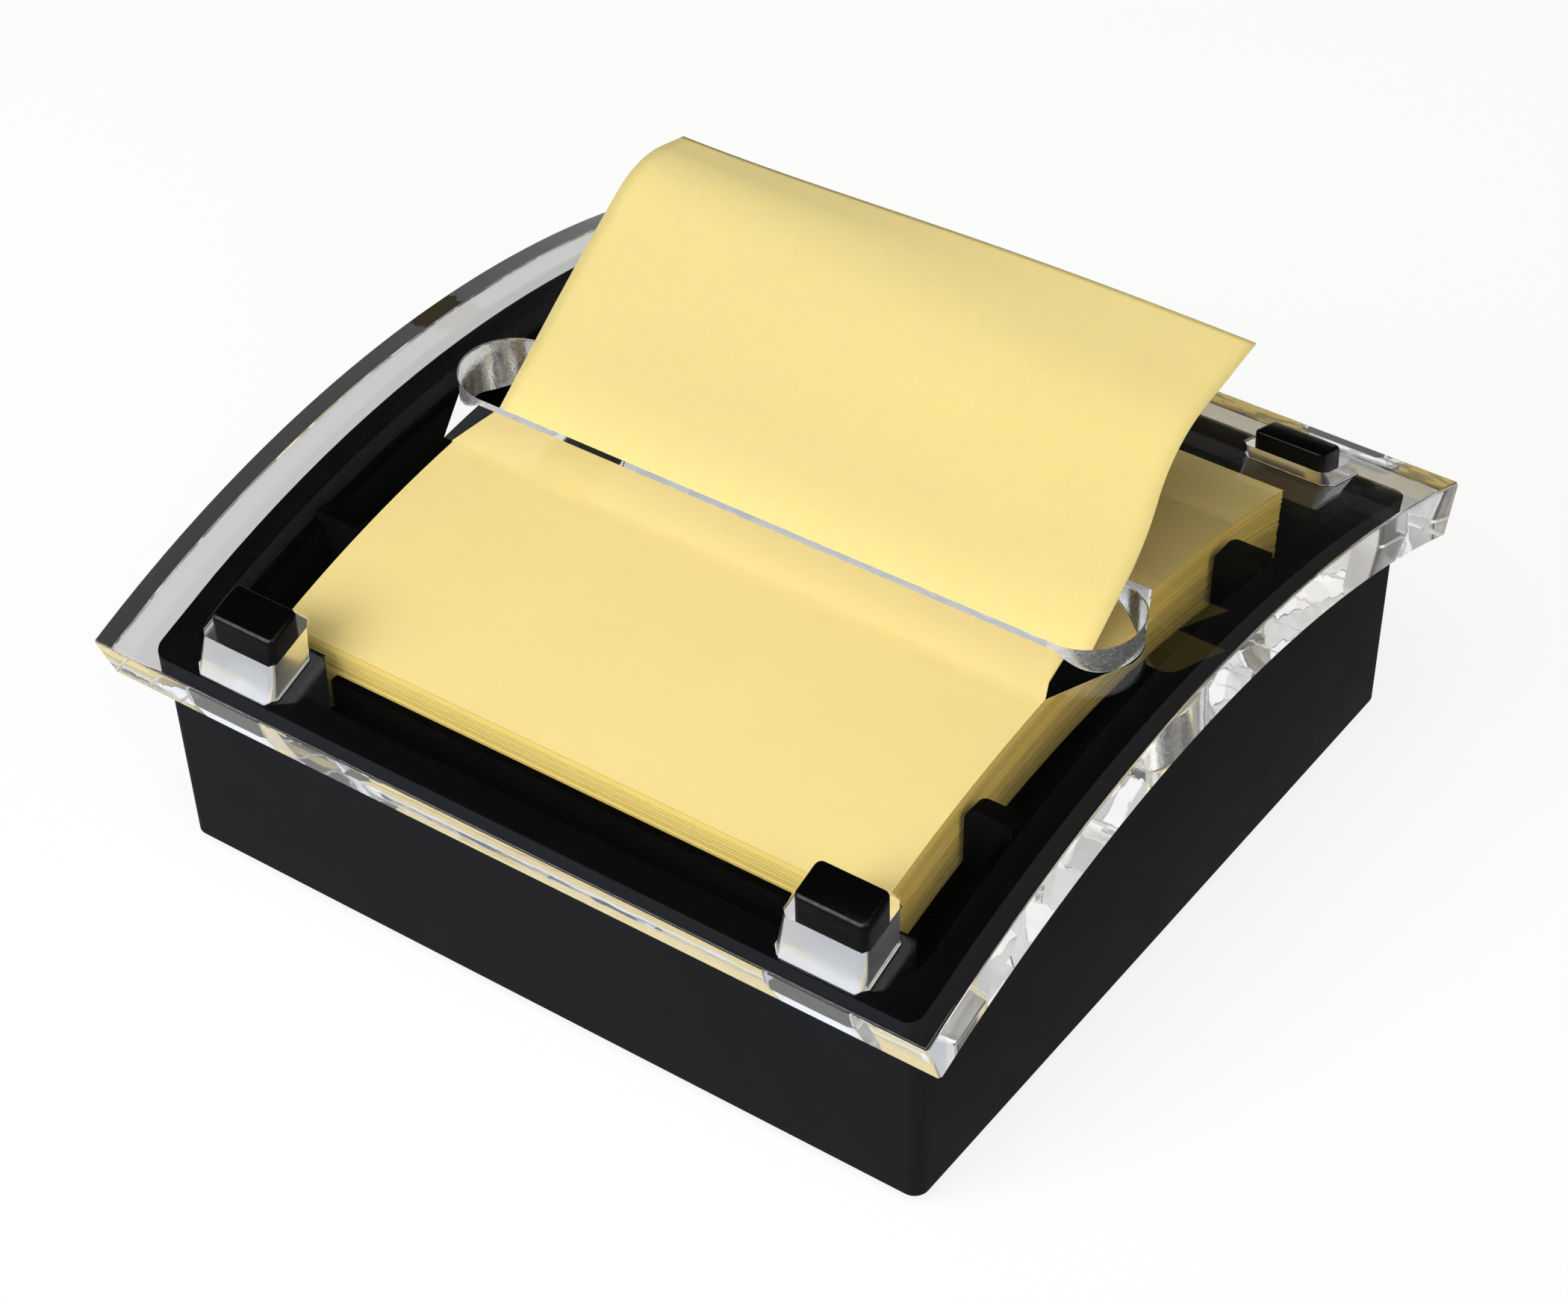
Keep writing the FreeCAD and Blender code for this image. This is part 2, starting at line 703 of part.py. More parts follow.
def make_foot(doc, name, x, y):
    """Round rubber foot with a bevelled lower edge."""
    body = new_body(doc, name)
    radius = sizes.foot_diameter / 2
    height = sizes.foot_stand + sizes.foot_recess
    profile = sketch_on(body, f"{name}_profile", "XZ_Plane")
    outline(profile, [
        Corner(0, 0),
        Corner(radius - sizes.foot_edge, 0),
        Corner(radius, sizes.foot_edge),
        Corner(radius, height),
        Corner(0, height),
    ])
    revolve(body, f"{name}_disc", profile)
    place_upright(body, x, y)
    return body


def make_screw(doc, name, x):
    """Pan-head screw, head down, with a plain shank and a pointed end."""
    body = new_body(doc, name)
    head, shank = sizes.head_diameter / 2, sizes.screw_diameter / 2
    head_bottom = head_seat - sizes.head_height
    profile = sketch_on(body, f"{name}_profile", "XZ_Plane")
    outline(profile, [
        Corner(0, head_bottom),
        Corner(head - sizes.head_edge, head_bottom),
        Corner(head, head_bottom + sizes.head_edge),
        Corner(head, head_seat),
        Corner(shank, head_seat),
        Corner(shank, screw_end - sizes.screw_tip),
        Corner(0, screw_end),
    ])
    revolve(body, f"{name}_turned", profile)
    place_upright(body, x, sized(0))
    return body


def place_upright(body, x, y):
    """Moves a turned piece to its place in the plan."""
    body.Placement = Placement(Vector(x.value, y.value, 0), Rotation())
    body.setExpression("Placement.Base.x", x.text)
    body.setExpression("Placement.Base.y", y.text)


def make_note_pad(doc):
    """Pad of notes, bowed to the tray's floor, with upright ends."""
    body = new_body(doc, "note_pad")
    side = sketch_on(body, "pad_side", "YZ_Plane")
    band(side, pad_radius, floor_radius + sizes.pad_seat, pad_half_depth)
    pad(body, "pad_block", side, pad_half_width * 2, symmetric=True)
    return body


def note_edge_profile(sketch, sweep_radius, sweep, curl_radius, curl, tail):
    """Side profile of the raised note: a straight lead through the slot, a sweep, a curl and a tail.

    A positive turn bends upwards, a negative one downwards.
    """
    heading = sizes.note_lean_angle
    y = -sizes.note_foot_y
    z = arch_height(pad_radius, sizes.note_foot_y) + sizes.note_foot_rise
    stations = [(y, z, heading)]
    y, z = y + sizes.note_lead * cosine(heading), z + sizes.note_lead * sine(heading)
    stations.append((y, z, heading))
    for radius, turn in ((sweep_radius, sweep), (curl_radius, curl)):
        side = 1 if turn.value > 0 else -1
        after = heading + turn
        y = y + radius * side * (sine(after) - sine(heading))
        z = z + radius * side * (cosine(heading) - cosine(after))
        heading = after
        stations.append((y, z, heading))
    stations.append((y + tail * cosine(heading), z + tail * sine(heading), heading))

    half = sizes.note_thick / 2
    sides = [1 if turn.value > 0 else -1 for turn in (sweep, curl)]
    upper = [(y - half * sine(angle), z + half * cosine(angle)) for y, z, angle in stations]
    lower = [(y + half * sine(angle), z - half * cosine(angle)) for y, z, angle in stations]
    lower_radii = [None, sweep_radius + half * sides[0], curl_radius + half * sides[1], None, None]
    upper_radii = [None, sweep_radius - half * sides[0], curl_radius - half * sides[1], None]
    left_going_out = [True, sides[0] > 0, sides[1] > 0, True, True]
    corners = []
    for number, (y, z) in enumerate(lower):
        corners.append(Corner(y, z, lower_radii[number], left_going_out[number]))
    for number in range(len(upper) - 1, -1, -1):
        radius = upper_radii[number - 1] if number > 0 else None
        going_back = not left_going_out[number - 1] if number > 0 else True
        corners.append(Corner(*upper[number], radius, going_back))
    outline(sketch, corners)


def make_raised_note(doc):
    """The note in the slot, ruled between its leaning left edge and its steeper right edge."""
    body = new_body(doc, "raised_note")
    left = sketch_on(body, "left_edge", "YZ_Plane", -pad_half_width)
    note_edge_profile(left, sizes.left_sweep_radius, sizes.left_sweep_angle, sizes.left_curl_radius,
                      sizes.left_curl_angle, sizes.left_tail)
    right = sketch_on(body, "right_edge", "YZ_Plane", pad_half_width)
    note_edge_profile(right, sizes.right_sweep_radius, sizes.right_sweep_angle, sizes.right_curl_radius,
                      sizes.right_curl_angle, sizes.right_tail)
    doc.recompute()
    loft = body.newObject("PartDesign::AdditiveLoft", "note_sheet")
    loft.Profile = left
    loft.Sections = [right]
    loft.Ruled = True
    doc.recompute()
    return body


def make_screw_group(doc):
    """The two screws together."""
    screws = [make_screw(doc, f"screw_{name}", screw_x * side) for name, side in LEFT_RIGHT]
    group = doc.addObject("Part::Compound", "tray_screws")
    group.Label = "tray_screws"
    group.Links = screws
    return group


def check(doc, pieces):
    """Stops where an object has failed or a piece is not a sound solid."""
    for item in doc.Objects:
        if "Invalid" in item.State or "Error" in item.State:
            raise ValueError(f"{item.Label} failed: {item.State}")
    for piece in pieces:
        if piece.Shape.isNull() or not piece.Shape.isValid():
            raise ValueError(f"{piece.Label} is not a sound shape")


pieces = [make_lid(doc), make_base_shell(doc), make_note_tray(doc), make_weight_plate(doc)]
for end_name, end in FRONT_REAR:
    for side_name, side in LEFT_RIGHT:
        pieces.append(make_peg(doc, f"peg_{end_name}_{side_name}", peg_x * side, peg_y * end))
        pieces.append(make_foot(doc, f"foot_{end_name}_{side_name}", foot_x * side, foot_y * end))
pieces += [make_screw_group(doc), make_note_pad(doc), make_raised_note(doc)]
doc.recompute()
check(doc, pieces)

os.makedirs("parts", exist_ok=True)
for piece in pieces:
    piece.Shape.exportStep(f"parts/{piece.Label}.step")
    print(piece.Label, len(piece.Shape.Solids), "solids", round(piece.Shape.Volume), "mm3")
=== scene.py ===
import logging
import math
from dataclasses import dataclass
from enum import Enum
from typing import Callable, Sequence

import bmesh
import bpy
from mathutils import Matrix, Vector
from mathutils.geometry import delaunay_2d_cdt, normal as face_normal


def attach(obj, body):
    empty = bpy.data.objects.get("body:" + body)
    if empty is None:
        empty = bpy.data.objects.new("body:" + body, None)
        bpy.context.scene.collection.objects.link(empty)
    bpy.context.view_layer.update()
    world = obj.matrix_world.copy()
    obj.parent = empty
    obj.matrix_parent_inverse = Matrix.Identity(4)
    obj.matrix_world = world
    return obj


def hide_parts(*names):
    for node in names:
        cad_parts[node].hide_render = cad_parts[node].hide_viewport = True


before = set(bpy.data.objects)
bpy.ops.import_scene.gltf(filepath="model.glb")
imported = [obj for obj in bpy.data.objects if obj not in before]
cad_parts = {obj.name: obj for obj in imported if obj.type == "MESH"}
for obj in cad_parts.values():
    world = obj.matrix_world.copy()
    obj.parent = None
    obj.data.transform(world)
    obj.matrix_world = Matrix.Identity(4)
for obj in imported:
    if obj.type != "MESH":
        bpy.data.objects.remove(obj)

LOG = logging.getLogger("note_dispenser")

# Sizes in the classes are millimetres and Blender works in metres.
MM = 0.001

Plan = tuple[float, float]
Corner = tuple[Vector, Vector]
Colour = tuple[float, float, float]

# The attribute with the tone of each sheet of the pad.
SHEET_TONE = "sheet_tone"

# The middle of a peg and of its hole, in every quarter of the dispenser.
PEG_PLACE: Plan = (37.0, 43.13)

# Copied meshes are merged within this distance, and their faces within this angle of flat.
MERGE_DISTANCE = 0.002 * MM
FLAT_ANGLE = math.radians(0.6)

# Edges of copied meshes that turn more than this angle are rounded, in this many steps.
ROUNDED_ANGLE = math.radians(30)
ROUNDING_STEPS = 2

# The share that makes the section of a bevel a round.
ROUND_PROFILE = 0.5


def shade(red: int, green: int, blue: int) -> Colour:
    """Turns a colour as a screen shows it into the linear values that shaders use.

    Args:
        red: Red from 0 to 255.
        green: Green from 0 to 255.
        blue: Blue from 0 to 255.

    Returns:
        The three linear values from 0 to 1.
    """
    shares = [channel / 255 for channel in (red, green, blue)]
    return tuple(s / 12.92 if s <= 0.04045 else ((s + 0.055) / 1.055) ** 2.4 for s in shares)


def scaled(colour: Colour, factor: float) -> Colour:
    """Returns a colour made lighter or darker by a factor."""
    return tuple(min(1.0, channel * factor) for channel in colour)


class Palette:
    """Colours of the finishes."""

    BLACK = shade(37, 38, 42)
    BASE = scaled(BLACK, 0.82)
    # The tray's black is far darker than the base's: painted shade inside the housing.
    TRAY = scaled(BLACK, 0.15)
    PEG = scaled(BLACK, 0.1)
    # Lighter grey for the pegs' top edges: partly scuffs and partly a painted highlight.
    SCUFF_AND_HIGHLIGHT = shade(88, 88, 90)
    RUBBER = shade(38, 38, 39)
    STEEL = shade(150, 150, 152)
    ZINC = shade(196, 198, 202)
    PAD = shade(243, 222, 149)
    # Sides of the pad: a deeper, slightly darker yellow, which is painted shade between the sheets.
    PAD_SHADED_EDGE = shade(244, 217, 118)
    NOTE = shade(255, 216, 147)


class Slot(Enum):
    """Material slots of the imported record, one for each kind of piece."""

    BASE = "base_plastic"
    TRAY = "tray_plastic"
    PEG = "peg_plastic"
    LID = "clear_acrylic"
    PAD = "pad_paper"
    NOTE = "note_paper"
    ZINC = "zinc_steel"
    RUBBER = "rubber"


class Body(Enum):
    """Bodies that move as one."""

    BASE = "base"
    LID = "lid"
    NOTE = "raised_note"


class NodeTree:
    """Short ways to add nodes to a tree and join them."""

    def __init__(self, tree: bpy.types.NodeTree) -> None:
        """Starts on an empty tree."""
        self.tree = tree
        self.tree.nodes.clear()

    def add(self, kind: str, **settings: object) -> bpy.types.Node:
        """Adds a node.

        Args:
            kind: Blender's name for the type of node.
            settings: Properties of the node and their values.

        Returns:
            The new node.
        """
        node = self.tree.nodes.new(kind)
        for name, value in settings.items():
            setattr(node, name, value)
        return node

    def join(self, source: bpy.types.NodeSocket, target: bpy.types.NodeSocket) -> None:
        """Links an output to an input."""
        self.tree.links.new(source, target)

    def feed(self, value: object, target: bpy.types.NodeSocket) -> None:
        """Gives an input a link, a colour or a number."""
        if isinstance(value, bpy.types.NodeSocket):
            self.join(value, target)
        elif isinstance(value, tuple):
            target.default_value = (*value, 1.0)
        else:
            target.default_value = value

    def math(self, operation: str, first: object, second: object = 0.0) -> bpy.types.NodeSocket:
        """Adds a Math node.

        Args:
            operation: Blender's name for the operation.
            first: A socket or a number.
            second: A socket or a number.

        Returns:
            The socket that holds the result.
        """
        node = self.add("ShaderNodeMath", operation=operation)
        for value, socket in zip((first, second), node.inputs):
            self.feed(value, socket)
        return node.outputs[0]

    def vector(self, **axes: bpy.types.NodeSocket) -> bpy.types.NodeSocket:
        """Returns a vector with the values of the named axes, and 0 on the others."""
        node = self.add("ShaderNodeCombineXYZ")
        for name, value in axes.items():
            self.join(value, node.inputs[name])
        return node.outputs["Vector"]

    def split(self, vector: bpy.types.NodeSocket) -> bpy.types.NodeOutputs:
        """Returns the sockets with the X, Y and Z of a vector."""
        node = self.add("ShaderNodeSeparateXYZ")
        self.join(vector, node.inputs["Vector"])
        return node.outputs

    def show_mix(
        self,
        output: bpy.types.Node,
        factor: bpy.types.NodeSocket,
        first: bpy.types.NodeSocket,
        second: bpy.types.NodeSocket,
    ) -> None:
        """Ends the tree in a mix of two shaders.

        Args:
            output: The node that shows the mix.
            factor: The socket with the share of the second shader.
            first: The first shader.
            second: The second shader.
        """
        mixed = self.add("ShaderNodeMixShader")
        for source, target in zip((factor, first, second), mixed.inputs):
            self.join(source, target)
        self.join(mixed.outputs["Shader"], output.inputs["Surface"])


class Surface(NodeTree):
    """A material with one Principled shader, and the patterns that drive it."""

    # Noise seldom leaves this range.
    pattern_range: Plan = (0.3, 0.7)

    def __init__(self, name: str) -> None:
        """Makes the material, its shader and the coordinates of its patterns."""
        self.material = bpy.data.materials.new(name)
        self.material.use_nodes = True
        super().__init__(self.material.node_tree)
        self.shader = self.add("ShaderNodeBsdfPrincipled")
        self.output = self.add("ShaderNodeOutputMaterial")
        self.join(self.shader.outputs["BSDF"], self.output.inputs["Surface"])
        self.coordinates = self.add("ShaderNodeTexCoord")

    def put(self, **values: object) -> None:
        """Sets the shader's inputs, named with underscores for spaces, to values or links."""
        for name, value in values.items():
            self.feed(value, self.shader.inputs[name.replace("_", " ")])

    def axis(self, source: str, name: str) -> bpy.types.NodeSocket:
        """Returns one axis of the Object or Normal coordinates."""
        return self.split(self.coordinates.outputs[source])[name]

    def near(
        self, face: bpy.types.NodeSocket, middle: Plan, half: Plan
    ) -> bpy.types.NodeSocket:
        """Marks the faces that lie in a box, which repeats in every quarter of the plan.

        Args:
            face: The socket with 1 on the faces that count.
            middle: The middle of the box in plan, in millimetres.
            half: Half its sides.

        Returns:
            The socket with 1 on those faces inside the boxes and 0 elsewhere.
        """
        for name, centre, reach in zip("XY", middle, half):
            place = self.math("ABSOLUTE", self.axis("Object", name))
            away = self.math("ABSOLUTE", self.math("SUBTRACT", place, centre * MM))
            face = self.math("MULTIPLY", face, self.math("LESS_THAN", away, reach * MM))
        return face

    def noise(
        self, size: float, detail: float = 2.0, stretch: Sequence[float] = (1, 1, 1)
    ) -> bpy.types.NodeSocket:
        """Adds an uneven pattern.

        Args:
            size: How far apart its spots are, in millimetres.
            detail: How many finer patterns lie on it.
            stretch: How much finer it is along X, Y and Z.

        Returns:
            The socket with the pattern, from 0 to 1.
        """
        mapping = self.add("ShaderNodeMapping")
        mapping.inputs["Scale"].default_value = stretch
        self.join(self.coordinates.outputs["Object"], mapping.inputs["Vector"])
        noise = self.add("ShaderNodeTexNoise")
        noise.inputs["Scale"].default_value = 1 / (size * MM)
        noise.inputs["Detail"].default_value = detail
        self.join(mapping.outputs["Vector"], noise.inputs["Vector"])
        return noise.outputs["Fac"]

    def spread(
        self, pattern: bpy.types.NodeSocket, low: float, high: float
    ) -> bpy.types.NodeSocket:
        """Spreads the middle of a pattern over a range of values.

        Args:
            pattern: The socket with the pattern.
            low: The value of the pattern's dark spots.
            high: The value of its light spots.

        Returns:
            The socket with the value.
        """
        node = self.add("ShaderNodeMapRange")
        limits = ("From Min", "From Max", "To Min", "To Max")
        for name, value in zip(limits, (*self.pattern_range, low, high)):
            node.inputs[name].default_value = value
        self.join(pattern, node.inputs["Value"])
        return node.outputs["Result"]

    def mix(
        self, factor: bpy.types.NodeSocket, first: object, second: object
    ) -> bpy.types.NodeSocket:
        """Mixes two colours by a pattern.

        Args:
            factor: The socket with the pattern.
            first: A colour or a socket, where the pattern is 0.
            second: A colour or a socket, where it is 1.

        Returns:
            The socket with the colour.
        """
        node = self.add("ShaderNodeMix", data_type="RGBA")
        self.join(factor, node.inputs["Factor"])
        colour_inputs = [s for s in node.inputs if s.type == "RGBA"]
        for value, socket in zip((first, second), colour_inputs):
            self.feed(value, socket)
        return next(s for s in node.outputs if s.type == "RGBA")

    def bump(self, pattern: bpy.types.NodeSocket, height: float) -> bpy.types.NodeSocket:
        """Raises a pattern from the surface.

        Args:
            pattern: The socket with the pattern.
            height: Its height in millimetres.

        Returns:
            The socket with the shading normal.
        """
        node = self.add("ShaderNodeBump")
        node.inputs["Distance"].default_value = height * MM
        self.join(pattern, node.inputs["Height"])
        return node.outputs["Normal"]


@dataclass(frozen=True)
class MouldedPlastic:
    """Opaque moulded plastic with a fine eroded grain, and painted shade: a deeper black on faces
    that look up.
    """

    name: str
    colour: Colour
    roughness: float = 0.5
    swing: float = 0.03
    gloss: float = 0.02
    grain: float = 0.35
    relief: float = 0.012
    flow_size: float = 6.0
    cloud_size: float = 18.0
    cloud_range: Plan = (0.92, 1.08)
    painted_shade_normal: float = 0.7
    painted_shade_share: float = 0.08

    def make(self) -> bpy.types.Material:
        """Builds the material and returns it."""
        surface = Surface(self.name)
        clouds = surface.noise(self.cloud_size, 3)
        grain = surface.noise(self.grain, 2)
        flow = surface.noise(self.flow_size, 4)
        # Painted shade: faces that look up, such as the rim under the lid, are painted a deeper
        # black.
        level = surface.math("GREATER_THAN", surface.axis("Normal", "Z"), self.painted_shade_normal)
        wall = surface.mix(clouds, *(scaled(self.colour, share) for share in self.cloud_range))
        low, high = self.roughness - self.swing, self.roughness + self.swing
        surface.put(
            Base_Color=surface.mix(level, wall, scaled(self.colour, self.painted_shade_share)),
            Roughness=surface.spread(flow, low, high),
            Normal=surface.bump(grain, self.relief),
            Specular_IOR_Level=self.gloss,
        )
        return surface.material


@dataclass(frozen=True)
class RubbedPlastic:
    """Glossy plastic with dull rubbing marks across its sides, and a lighter line along its top
    edges that is partly scuffs and partly a painted highlight.
    """

    name: str
    colour: Colour
    scuff_and_highlight: Colour
    polish: float = 0.16
    dulling: float = 0.5
    gloss: float = 0.12
    mark_size: float = 1.4
    mark_relief: float = 0.02
    scuff_and_highlight_size: float = 0.6
    scuff_and_highlight_start: float = 0.4
    scuff_and_highlight_gain: float = 12.0

    def make(self) -> bpy.types.Material:
        """Builds the material and returns it."""
        surface = Surface(self.name)
        rise = surface.axis("Normal", "Z")
        upright = surface.math("SUBTRACT", 1.0, surface.math("ABSOLUTE", rise))
        marks = surface.noise(self.mark_size, 3, (1, 1, 6))
        dull = surface.math("MULTIPLY", upright, marks)
        # The lip is the bevel that looks up and to the front or back; its lighter line is partly
        # scuffs and partly a painted highlight.
        facing = surface.math("ABSOLUTE", surface.axis("Normal", "Y"))
        lip = surface.math("MULTIPLY", rise, facing)
        ridge = surface.math("SUBTRACT", lip, self.scuff_and_highlight_start)
        ridge = surface.math("MULTIPLY", ridge, self.scuff_and_highlight_gain)
        worn_and_lit = surface.math("MULTIPLY", ridge, surface.noise(self.scuff_and_highlight_size, 3, (1, 2, 2)))
        rough = surface.math("MULTIPLY", dull, self.dulling)
        surface.put(
            Base_Color=surface.mix(worn_and_lit, self.colour, self.scuff_and_highlight),
            Roughness=surface.math("ADD", self.polish, rough),
            Normal=surface.bump(marks, self.mark_relief),
            Specular_IOR_Level=self.gloss,
        )
        return surface.material


@dataclass(frozen=True)
class ClearAcrylic:
    """Thick clear plastic, polished, with faint handling marks and a cool tint in its ends."""

    name: str
    colour: Colour = (0.985, 0.99, 0.99)
    index: float = 1.49
    lamp_share: Colour = (0.99, 0.99, 0.99)
    mark_size: float = 9.0
    mark_matt: Plan = (0.0, 0.02)
    ripple_size: float = 3.2
    ripple: float = 0.03
    cut_normal: float = 0.6
    steep_normal: float = 0.3
    slot_end: Plan = (41.0, 0.0)
    slot_end_half: Plan = (5.0, 11.0)
    speck_size: float = 0.4
    speck_matt: float = 0.42
    hole_half: Plan = (6.0, 4.5)
    hole_matt: Plan = (0.14, 0.24)
    plate_end: Plan = (0.0, 50.8)
    plate_end_half: Plan = (53.0, 2.2)
    plate_end_colour: Colour = (0.6, 0.65, 0.76)

    def make(self) -> bpy.types.Material:
        """Builds the material and returns it."""
        surface = Surface(self.name)
        marks = surface.noise(self.mark_size, 5)
        level = surface.math("ABSOLUTE", surface.axis("Normal", "Z"))
        cut = surface.math("LESS_THAN", level, self.cut_normal)
        steep = surface.math("LESS_THAN", level, self.steep_normal)
        ripple = surface.math("MULTIPLY", surface.noise(self.ripple_size, 1), cut)
        slot_ends = surface.near(steep, self.slot_end, self.slot_end_half)
        holes = surface.near(steep, PEG_PLACE, self.hole_half)
        plate_ends = surface.near(cut, self.plate_end, self.plate_end_half)
        specks = surface.math("MULTIPLY", surface.noise(self.speck_size, 2), slot_ends)
        rough = surface.math("MULTIPLY", holes, surface.spread(marks, *self.hole_matt))
        rough = surface.math("ADD", rough, surface.math("MULTIPLY", specks, self.speck_matt))
        surface.put(
            Base_Color=surface.mix(plate_ends, self.colour, self.plate_end_colour),
            Transmission_Weight=1.0,
            IOR=self.index,
            Roughness=surface.math("ADD", surface.spread(marks, *self.mark_matt), rough),
            Normal=surface.bump(surface.math("ADD", ripple, specks), self.ripple),
        )
        self.pass_lamps(surface)
        return surface.material

    def pass_lamps(self, surface: Surface) -> None:
        """Lets the lamps shine through, as they do through a thick clear plate."""
        path = surface.add("ShaderNodeLightPath").outputs
        through = surface.add("ShaderNodeBsdfTransparent")
        surface.feed(self.lamp_share, through.inputs["Color"])
        shaders = (surface.shader.outputs["BSDF"], through.outputs["BSDF"])
        surface.show_mix(surface.output, path["Is Shadow Ray"], *shaders)


@dataclass(frozen=True)
class Paper:
    """Uncoated coloured paper with fibres, light that comes through, and on a stack sides painted a
    deeper, slightly darker yellow as painted shade.
    """

    name: str
    colour: Colour
    edge: Colour
    tone: str = ""
    glow: float = 0.0
    depth: float = 0.4
    spread: Colour = (1.0, 1.0, 0.3)
    gloss: float = 0.15
    fibre_size: float = 0.5
    fibre_relief: float = 0.012
    fibre_matt: Plan = (0.78, 0.92)
    cloud_size: float = 11.0
    cloud_range: Plan = (0.975, 1.015)
    edge_range: Plan = (0.86, 1.12)
    edge_normal: float = 0.5

    def make(self) -> bpy.types.Material:
        """Builds the material and returns it."""
        surface = Surface(self.name)
        fibres = surface.noise(self.fibre_size, 4, (1, 0.35, 1))
        clouds = surface.noise(self.cloud_size, 3)
        face = surface.mix(clouds, *(scaled(self.colour, share) for share in self.cloud_range))
        # On a stack, the sides are painted a deeper, slightly darker yellow: painted shade between
        # the sheets, streaked by each sheet's random tone.
        if self.tone:
            level = surface.math("ABSOLUTE", surface.axis("Normal", "Z"))
            cut = surface.math("LESS_THAN", level, self.edge_normal)
            tone = surface.add("ShaderNodeAttribute", attribute_name=self.tone).outputs["Fac"]
            shaded_streaks = surface.mix(tone, *(scaled(self.edge, share) for share in self.edge_range))
            face = surface.mix(cut, face, shaded_streaks)
        surface.put(
            Base_Color=face,
            Roughness=surface.spread(fibres, *self.fibre_matt),
            Normal=surface.bump(fibres, self.fibre_relief),
            Specular_IOR_Level=self.gloss,
            Subsurface_Weight=self.glow,
            Subsurface_Scale=self.depth * MM,
        )
        surface.shader.inputs["Subsurface Radius"].default_value = self.spread
        return surface.material


@dataclass(frozen=True)
class Metal:
    """Bare or plated steel with a drawn grain."""

    name: str
    colour: Colour
    roughness: float
    stretch: tuple[float, float, float] = (1, 12, 1)
    grain_size: float = 2.5
    grain_relief: float = 0.006
    grain_swing: Plan = (-0.08, 0.1)
    cloud_size: float = 7.0
    cloud_share: float = 0.85

    def make(self) -> bpy.types.Material:
        """Builds the material and returns it."""
        surface = Surface(self.name)
        drawn = surface.noise(self.grain_size, 4, self.stretch)
        clouds = surface.noise(self.cloud_size, 3)
        low, high = (self.roughness + swing for swing in self.grain_swing)
        surface.put(
            Base_Color=surface.mix(clouds, scaled(self.colour, self.cloud_share), self.colour),
            Metallic=1.0,
            Roughness=surface.spread(drawn, low, high),
            Normal=surface.bump(drawn, self.grain_relief),
        )
        return surface.material


def new_object(name: str, mesh: bpy.types.Mesh) -> bpy.types.Object:
    """Puts a mesh in the scene.

    Args:
        name: The name of the piece.
        mesh: Its mesh.

    Returns:
        The new object.
    """
    made = bpy.data.objects.new(name, mesh)
    bpy.context.scene.collection.objects.link(made)
    return made


def baked(made: bpy.types.Object) -> bpy.types.Object:
    """Turns an object's evaluated shape into its plain mesh and drops its modifiers.

    Args:
        made: The object with its modifiers.

    Returns:
        The same object.
    """
    graph = bpy.context.evaluated_depsgraph_get()
    mesh = bpy.data.meshes.new_from_object(made.evaluated_get(graph), depsgraph=graph)
    made.modifiers.clear()
    made.data = mesh
    return made


def finished(
    made: bpy.types.Object, body: Body, slot: Slot, *nodes: str
) -> bpy.types.Object:
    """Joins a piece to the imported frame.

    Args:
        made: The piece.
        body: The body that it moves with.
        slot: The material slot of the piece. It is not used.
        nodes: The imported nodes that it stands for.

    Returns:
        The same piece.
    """
    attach(made, body.value)
    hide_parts(*nodes)
    LOG.info("%s stands for %s", made.name, ", ".join(nodes))
    return made


def add_tree(made: bpy.types.Object, tree: bpy.types.NodeTree, values: dict[str, object]) -> None:
    """Adds a Geometry Nodes modifier and sets the inputs of its tree.

    Args:
        made: The object that gets the modifier.
        tree: The tree.
        values: The value of each input by its name.
    """
    modifier = made.modifiers.new(tree.name, "NODES")
    modifier.node_group = tree
    for item in tree.interface.items_tree:
        if item.in_out == "INPUT" and item.name in values:
            modifier[item.identifier] = values[item.name]


def number_sockets(sockets: Sequence[bpy.types.NodeSocket]) -> list[bpy.types.NodeSocket]:
    """Returns the sockets that hold a plain number."""
    return [socket for socket in sockets if socket.type == "VALUE"]


class GeometryTree(NodeTree):
    """A Geometry Nodes tree with named inputs."""

    def __init__(self, name: str, **inputs: str) -> None:
        """Makes the tree, with an input for each name and its kind of socket."""
        group = bpy.data.node_groups.new(name, "GeometryNodeTree")
        super().__init__(group)
        group.interface.new_socket("Geometry", in_out="OUTPUT", socket_type="NodeSocketGeometry")
        for label, kind in inputs.items():
            group.interface.new_socket(label, in_out="INPUT", socket_type=f"NodeSocket{kind}")
        self.given = self.add("NodeGroupInput").outputs

    def end(self, shape: bpy.types.NodeSocket) -> bpy.types.NodeTree:
        """Gives the shape its material and ends the tree.

        Args:
            shape: The socket with the realised shape.

        Returns:
            The finished tree.
        """
        dress = self.add("GeometryNodeSetMaterial")
        output = self.add("NodeGroupOutput")
        self.join(shape, dress.inputs["Geometry"])
        self.join(self.given["Material"], dress.inputs["Material"])
        self.join(dress.outputs["Geometry"], output.inputs["Geometry"])
        return self.tree


